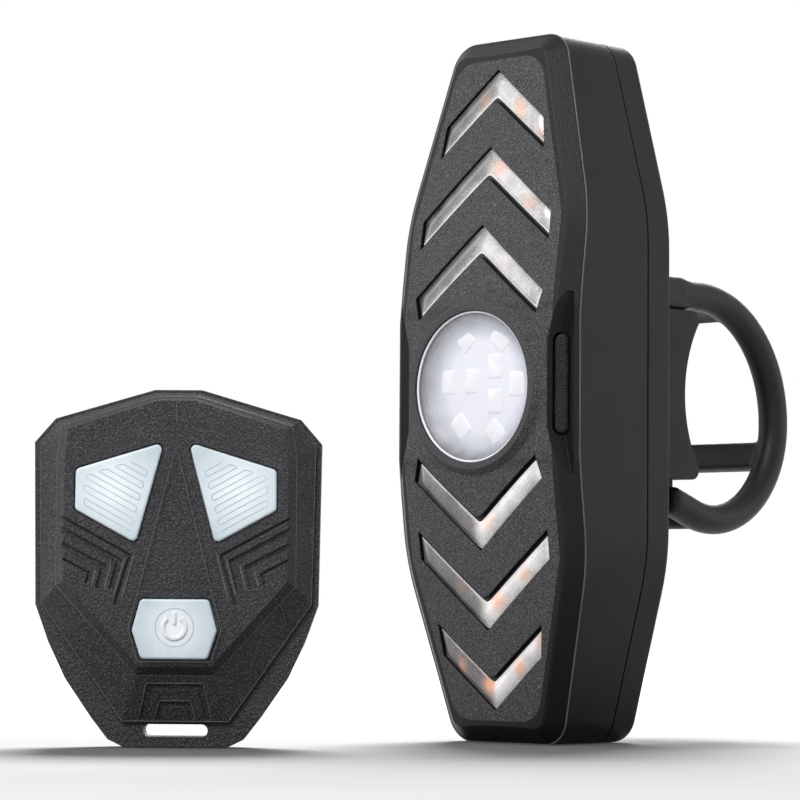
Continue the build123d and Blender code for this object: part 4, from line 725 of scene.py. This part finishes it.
strap = makePiece("seat_post_strap", strapShells(strapSet), materials["black_rubber"])
fuse = strap.modifiers.new("fuse", "REMESH")  # one skin over all the bars
fuse.mode = "VOXEL"
fuse.voxel_size = strapSet["voxel"] * mm
fuse.use_smooth_shade = True
ease = strap.modifiers.new("ease", "SMOOTH")
ease.factor, ease.iterations = 0.5, strapSet["easing"]
fused = bpy.data.meshes.new_from_object(strap.evaluated_get(bpy.context.evaluated_depsgraph_get()))
strap.modifiers.clear()
strap.data = fused
fused.name = "seat_post_strap"
fused.materials.clear()
fused.materials.append(materials["black_rubber"])
fused.shade_smooth()
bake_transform(strap)
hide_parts("strap_band", "strap_tail")
print("strap made, faces:", len(fused.polygons))

# remote's own frame: x right, w up, n out of its face, from its foot; after the height come levels of n
remoteSet = dict(turn=44.0, foot=(-16.5, -68.1), height=56.5, rimStep=7.4, fold=9.5, plateau=10.9, nose=11.6,
                 sideKey=11.4, centreKey=12.0)
turnAngle = math.radians(remoteSet["turn"])
remoteOut = np.array([math.sin(turnAngle), -math.cos(turnAngle), 0.0])
remoteRight = np.array([math.cos(turnAngle), math.sin(turnAngle), 0.0])
remoteFoot = np.array([*remoteSet["foot"], 0.0]) - remoteOut * remoteSet["plateau"]


def onRemote(x, w, n):
    return (remoteFoot + np.multiply.outer(x, remoteRight) + np.multiply.outer(n, remoteOut)
            + np.multiply.outer(w, np.array([0.0, 0.0, 1.0])))


# key: milky plastic, whitest at its middle and bluish towards its border, by the distance in the key's plane
def keyPlastic(name, s):
    mat, tree, shader = newMaterial(name)
    place = objectPlace(tree)
    middle = onRemote(*s["place"], remoteSet["sideKey"]) * mm
    reach = sums(tree, "DIVIDE", distanceFrom(tree, place, middle), s["reach"] * mm)
    cloud = noise(tree, place, s["cloud"], 4.0)
    stirred = sums(tree, "ADD", reach, sway(tree, cloud, s["cloudShare"]))
    feed(tree, shader, "Base Color", ramp(tree, stirred, s["tones"]))
    feed(tree, shader, "Roughness", span(tree, cloud, *s["rough"]))
    addRelief(tree, shader, cloud, s["bump"], s["depth"], s["edge"])
    shader.inputs["Subsurface Weight"].default_value = s["scatter"]
    shader.inputs["Subsurface Radius"].default_value = s["scatterReach"]
    return mat


# keys' finish: tones at shares of a key's reach; then each key's middle and reach in its plane
keySet = dict(tones=((0.15, (0.80, 0.84, 0.87)), (0.55, (0.64, 0.71, 0.75)), (1.0, (0.50, 0.58, 0.62))),
              cloud=1.8, cloudShare=0.5, rough=(0.24, 0.38), bump=0.05, depth=0.1, edge=0.3, scatter=0.15,
              scatterReach=(0.002, 0.002, 0.003))
for keyNode, place, reach in (("left_button", (-9.9, 40.6), 8.5), ("right_button", (9.9, 40.6), 8.5),
                              ("centre_button", (0.0, 18.8), 6.5)):
    keyFinish = keyPlastic(keyNode + "Milk", dict(keySet, place=place, reach=reach))
    frame["nodes"][keyNode].data.materials.clear()
    frame["nodes"][keyNode].data.materials.append(keyFinish)


# fine lines on the remote: beads that are flatter than wide and end narrow
beadSet = dict(flatness=0.55, endSwell=0.35)


# one such line along a flat path in (x, w) at a level
def keyLine(points, level, half, ring=False):
    path = onRemote(points[:, 0], points[:, 1], np.full(len(points), level))
    swell = np.ones(len(points))
    if not ring:
        swell[[0, -1]] = beadSet["endSwell"]
    profile = roundSection(half, half * beadSet["flatness"], 2.0, 12)
    return dict(grid=carry(profile, path, remoteOut, swell=swell, ring=ring), ring=ring)


# meander: the passes joined end to end in turn, then rounded by a moving average over a window of points,
# and mirrored for the left key
def meander(s, side):
    passes = s["passes"]
    order = np.arange(len(passes)) % 2
    start = np.where(order[:, None] == 0, passes[:, 0:2], passes[:, 2:4])
    end = np.where(order[:, None] == 0, passes[:, 2:4], passes[:, 0:2])
    t = np.linspace(0, 1, 24)[None, :, None]
    line = (start[:, None] * (1 - t) + end[:, None] * t).reshape(-1, 2)
    line = runs(line[:-1], line[1:], 4)
    window = np.ones(s["window"]) / s["window"]
    padded = np.pad(line, ((s["window"] // 2,) * 2, (0, 0)), mode="edge")
    line = np.stack([np.convolve(padded[:, k], window, mode="valid") for k in (0, 1)], -1)
    line[:, 0] *= side
    return line


# passes across the key parallel to its lower edge, a pitch apart: each is cut by the key's sides, moved in by
# an inset, and left out where it would be too short
def keyPasses(s):
    corners = np.array(s["corners"])
    edge = np.roll(corners, -1, 0) - corners
    edge /= np.linalg.norm(edge, axis=1)[:, None]
    inward = np.stack([-edge[:, 1], edge[:, 0]], -1)
    limit = (inward * corners).sum(1) + s["inset"]
    along = edge[s["lowerEdge"]]
    up = inward[s["lowerEdge"]]
    offsets = s["inset"] + s["pitch"] * np.arange(s["count"])
    base = corners[s["lowerEdge"]] + offsets[:, None] * up
    speed = inward @ along
    room = limit[None, :] - base @ inward.T
    with np.errstate(divide="ignore"):
        cut = room / speed[None, :]
    nearly = 1e-6  # speed below which a side counts as parallel
    low = np.where(speed[None, :] > nearly, cut, -np.inf).max(1)
    high = np.where(speed[None, :] < -nearly, cut, np.inf).min(1)
    keep = high - low > s["shortest"]
    low, high, base = low[keep], high[keep], base[keep]
    return np.concatenate([base + low[:, None] * along, base + high[:, None] * along], -1)


# corners of the right-hand key, anticlockwise from its lower inner corner
ribSet = dict(half=0.10, corners=((6.2, 32.1), (15.8, 37.4), (15.8, 43.7), (1.9, 48.0)), lowerEdge=0, inset=1.3,
              pitch=0.95, count=11, shortest=1.4, window=9)
ribSet["passes"] = keyPasses(ribSet)
ribFinish = mouldedPlastic("keyRibTint", dict(
    colour=(0.48, 0.55, 0.61), rough=0.35, grain=0.5, bump=0.05, edge=0.05))
for side, keyName, bodyName in ((-1, "left_key_ribs", "left_key"), (1, "right_key_ribs", "right_key")):
    ribs = makePiece(keyName, [keyLine(meander(ribSet, side), remoteSet["sideKey"], ribSet["half"])], ribFinish)
    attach(ribs, bodyName)

# power mark: an open ring with a bar at its top, inside a fine circle
markSet = dict(middle=19.0, ring=1.75, ringHalf=0.42, opening=36.0, barEnds=(0.3, 2.5), barHalf=0.36,
               circle=3.0, circleHalf=0.09)
t = np.radians(np.linspace(markSet["opening"], 360 - markSet["opening"], 72))
arc = np.stack([markSet["ring"] * np.sin(t), markSet["middle"] + markSet["ring"] * np.cos(t)], -1)
bar = np.stack([np.zeros(12), markSet["middle"] + np.linspace(*markSet["barEnds"], 12)], -1)
markFinish = mouldedPlastic("powerMarkWhite", dict(
    colour=(0.72, 0.74, 0.77), rough=0.35, grain=0.5, bump=0.03, edge=0.05, low=0.98, high=1.02))
mark = makePiece("power_mark", [keyLine(arc, remoteSet["centreKey"], markSet["ringHalf"]),
                                keyLine(bar, remoteSet["centreKey"], markSet["barHalf"])], markFinish)
t = np.linspace(0, 2 * np.pi, 72, endpoint=False)
around = np.stack([markSet["circle"] * np.sin(t), markSet["middle"] + markSet["circle"] * np.cos(t)], -1)
circle = makePiece("power_circle", [keyLine(around, remoteSet["centreKey"], markSet["circleHalf"], ring=True)],
                   ribFinish)
for piece in (mark, circle):
    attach(piece, "centre_key")
print("key marks made")

# thin moulded edges of the remote: round its rim step, along the folds of its face and round the nose, each a
# fine bead at a level, painted lighter than the body as a highlight, mirrored into a loop or not, with its
# corners as shares of the height (across, up)
edgeSet = dict(half=0.075, lines=(
    (remoteSet["rimStep"], True,
     ((0.062, 0.989), (0.334, 0.908), (0.386, 0.848), (0.377, 0.402), (0.149, 0.074))),
    (remoteSet["fold"], True, ((0.057, 0.977), (0.320, 0.896), (0.334, 0.807), (0.334, 0.451), (0.108, 0.202))),
    (remoteSet["nose"], True, ((0.0, 0.840), (0.1290, 0.331), (0.1018, 0.2410))),
    (remoteSet["plateau"], False, ((0.0, 0.966), (0.0, 0.890)))))


def edgeLine(level, mirrored, shares, s):
    points = np.array(shares) * remoteSet["height"]
    if mirrored:
        other = points[::-1] * [-1, 1]
        points = np.concatenate([points, other[np.abs(other[:, 0]) > 0]])
    after = np.roll(points, -1, 0) if mirrored else points[1:]
    return keyLine(runs(points[:len(after)], after), level, s["half"], ring=mirrored)


# bars on the cheeks beside the chevrons' legs, and the rims of the two trapezoids on the foot facet, all painted
# light as highlights, whose places are (share across, share up the facet from its lower edge); the facet starts
# at a (height, level) and climbs by a slope in each
barSet = dict(half=0.15, bars=(((0.113, 0.545), (0.150, 0.405)), ((0.142, 0.525), (0.170, 0.420)),
                               ((0.179, 0.511), (0.197, 0.437)), ((0.220, 0.494), (0.232, 0.447))),
              footStart=(4.18, remoteSet["rimStep"]), footSlope=(0.960, 0.279), footHalf=0.09,
              foot=(((0.102, 0.006), (0.079, 0.111), (-0.079, 0.111), (-0.102, 0.006)),
                    ((0.057, 0.006), (0.043, 0.060), (-0.043, 0.060), (-0.057, 0.006))))


def barLines(s):
    shells = []
    for bar in s["bars"]:
        for side in (-1, 1):
            line = stepped(np.array(bar) * remoteSet["height"] * [side, 1])
            shells.append(keyLine(line, remoteSet["plateau"], s["half"]))
    for rim in s["foot"]:
        line = stepped(np.array(rim) * remoteSet["height"])
        up = line[:, 1].copy()
        line[:, 1] = s["footStart"][0] + up * s["footSlope"][0]
        shells.append(keyLine(line, s["footStart"][1] + up * s["footSlope"][1], s["footHalf"]))
    return shells


# painted highlight: the edge lines and bars lighter grey than the body
remoteEdgeHighlightFinish = mouldedPlastic("remoteEdgeSheen", dict(
    colour=(0.060, 0.060, 0.064), rough=0.4, grain=0.3, bump=0.5, edge=0.05, paintedGlint=2.5))
edgeLines = [edgeLine(*line, edgeSet) for line in edgeSet["lines"]]
remoteEdges = makePiece("remote_edges", edgeLines + barLines(barSet), remoteEdgeHighlightFinish)
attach(remoteEdges, "remote_body")
print("remote edges made")

# studio: a matt floor and a white world; the camera, gloss and see-through rays see the world as white,
# and some of that white is added to the floor for the same rays, little near the object, where it keeps
# the shadows, and more the farther away
studioSet = dict(floorColour=(0.56, 0.56, 0.56), floorWhite=0.03, farWhite=0.92, whiteFrom=0.14, whiteTo=0.55,
                 worldLight=0.26, floorHalf=8.0, floorDrop=0.00005, floorRough=0.95)


def brightRays(tree):
    rays = tree.nodes.new("ShaderNodeLightPath")
    some = sums(tree, "MAXIMUM", rays.outputs["Is Camera Ray"], rays.outputs["Is Glossy Ray"])
    return sums(tree, "MAXIMUM", some, rays.outputs["Is Transmission Ray"])


def floorFinish(s):
    mat, tree, shader = newMaterial("floorFinish")
    shader.inputs["Base Color"].default_value = (*s["floorColour"], 1)
    shader.inputs["Roughness"].default_value = s["floorRough"]
    shader.inputs["Specular IOR Level"].default_value = 0.0
    glowing = node(tree, "ShaderNodeEmission", {"Color": (1, 1, 1, 1)})
    away = node(tree, "ShaderNodeVectorMath", operation="LENGTH")
    tree.links.new(objectPlace(tree), away.inputs[0])
    far = sums(tree, "DIVIDE", sums(tree, "SUBTRACT", away.outputs["Value"], s["whiteFrom"]),
               s["whiteTo"] - s["whiteFrom"], clamp=True)
    white = sums(tree, "ADD", sums(tree, "MULTIPLY", far, s["farWhite"]), s["floorWhite"])
    tree.links.new(sums(tree, "MULTIPLY", brightRays(tree), white), glowing.inputs["Strength"])
    both = tree.nodes.new("ShaderNodeAddShader")
    tree.links.new(shader.outputs[0], both.inputs[0])
    tree.links.new(glowing.outputs[0], both.inputs[1])
    tree.links.new(both.outputs[0], tree.nodes["Material Output"].inputs["Surface"])
    return mat


def addStage(s):
    mesh = bpy.data.meshes.new("studioFloor")
    signs = ((-1, -1), (1, -1), (1, 1), (-1, 1))
    corners = [(x * s["floorHalf"], y * s["floorHalf"], -s["floorDrop"]) for x, y in signs]
    mesh.from_pydata(corners, [], [(0, 1, 2, 3)])
    floor = bpy.data.objects.new("studioFloor", mesh)
    scene.collection.objects.link(floor)
    floor.data.materials.append(floorFinish(s))
    world = bpy.data.worlds.new("studioWorld")
    scene.world = world
    world.use_nodes = True
    tree = world.node_tree
    tree.nodes.clear()
    out = tree.nodes.new("ShaderNodeOutputWorld")
    mix = tree.nodes.new("ShaderNodeMixShader")
    plain = node(tree, "ShaderNodeBackground", {"Color": (1, 1, 1, 1), "Strength": s["worldLight"]})
    seen = node(tree, "ShaderNodeBackground", {"Color": (1, 1, 1, 1), "Strength": 1.0})
    tree.links.new(brightRays(tree), mix.inputs["Fac"])
    tree.links.new(plain.outputs[0], mix.inputs[1])
    tree.links.new(seen.outputs[0], mix.inputs[2])
    tree.links.new(mix.outputs[0], out.inputs["Surface"])
    return floor


studioFloor = addStage(studioSet)

# lamps: a soft one in front, a strip on either side and a low one behind light the object alone; a large one
# from above and behind lights the floor alone, on which it throws the object's shadow forward
lightSet = dict(
    overFront=dict(place=(0.14, -0.60, 0.55), aim=(0, 0, 0.05), size=(0.45, 0.40), watts=6.6),
    rightStrip=dict(place=(0.62, 0.62, 0.22), aim=(0, 0, 0.06), size=(0.25, 0.60), watts=0.9),
    leftStrip=dict(place=(-0.80, -0.52, 0.25), aim=(0, 0, 0.05), size=(0.25, 0.60), watts=1.5),
    backFill=dict(place=(-0.45, 0.70, 0.40), aim=(0, 0, 0.06), size=(0.40, 0.40), watts=3.5),
    overBack=dict(place=(-0.30, 0.36, 0.76), aim=(0, 0, 0.0), size=(0.45, 0.40), watts=15.0, floorAlone=True),
)
floorLit, floorSpared = bpy.data.collections.new("floorLit"), bpy.data.collections.new("floorSpared")
for group, state in ((floorLit, "INCLUDE"), (floorSpared, "EXCLUDE")):
    group.objects.link(studioFloor)
    group.collection_objects[0].light_linking.link_state = state
for lightName, s in lightSet.items():
    data = bpy.data.lights.new(lightName, "AREA")
    data.shape = "RECTANGLE"
    data.size, data.size_y = s["size"]
    data.energy = s["watts"]
    light = bpy.data.objects.new(lightName, data)
    scene.collection.objects.link(light)
    light.location = s["place"]
    light.rotation_euler = (Vector(s["aim"]) - Vector(s["place"])).to_track_quat("-Z", "Y").to_euler()
    light.light_linking.receiver_collection = floorLit if s.get("floorAlone") else floorSpared
scene.view_settings.view_transform = "Standard"
print("studio ready")
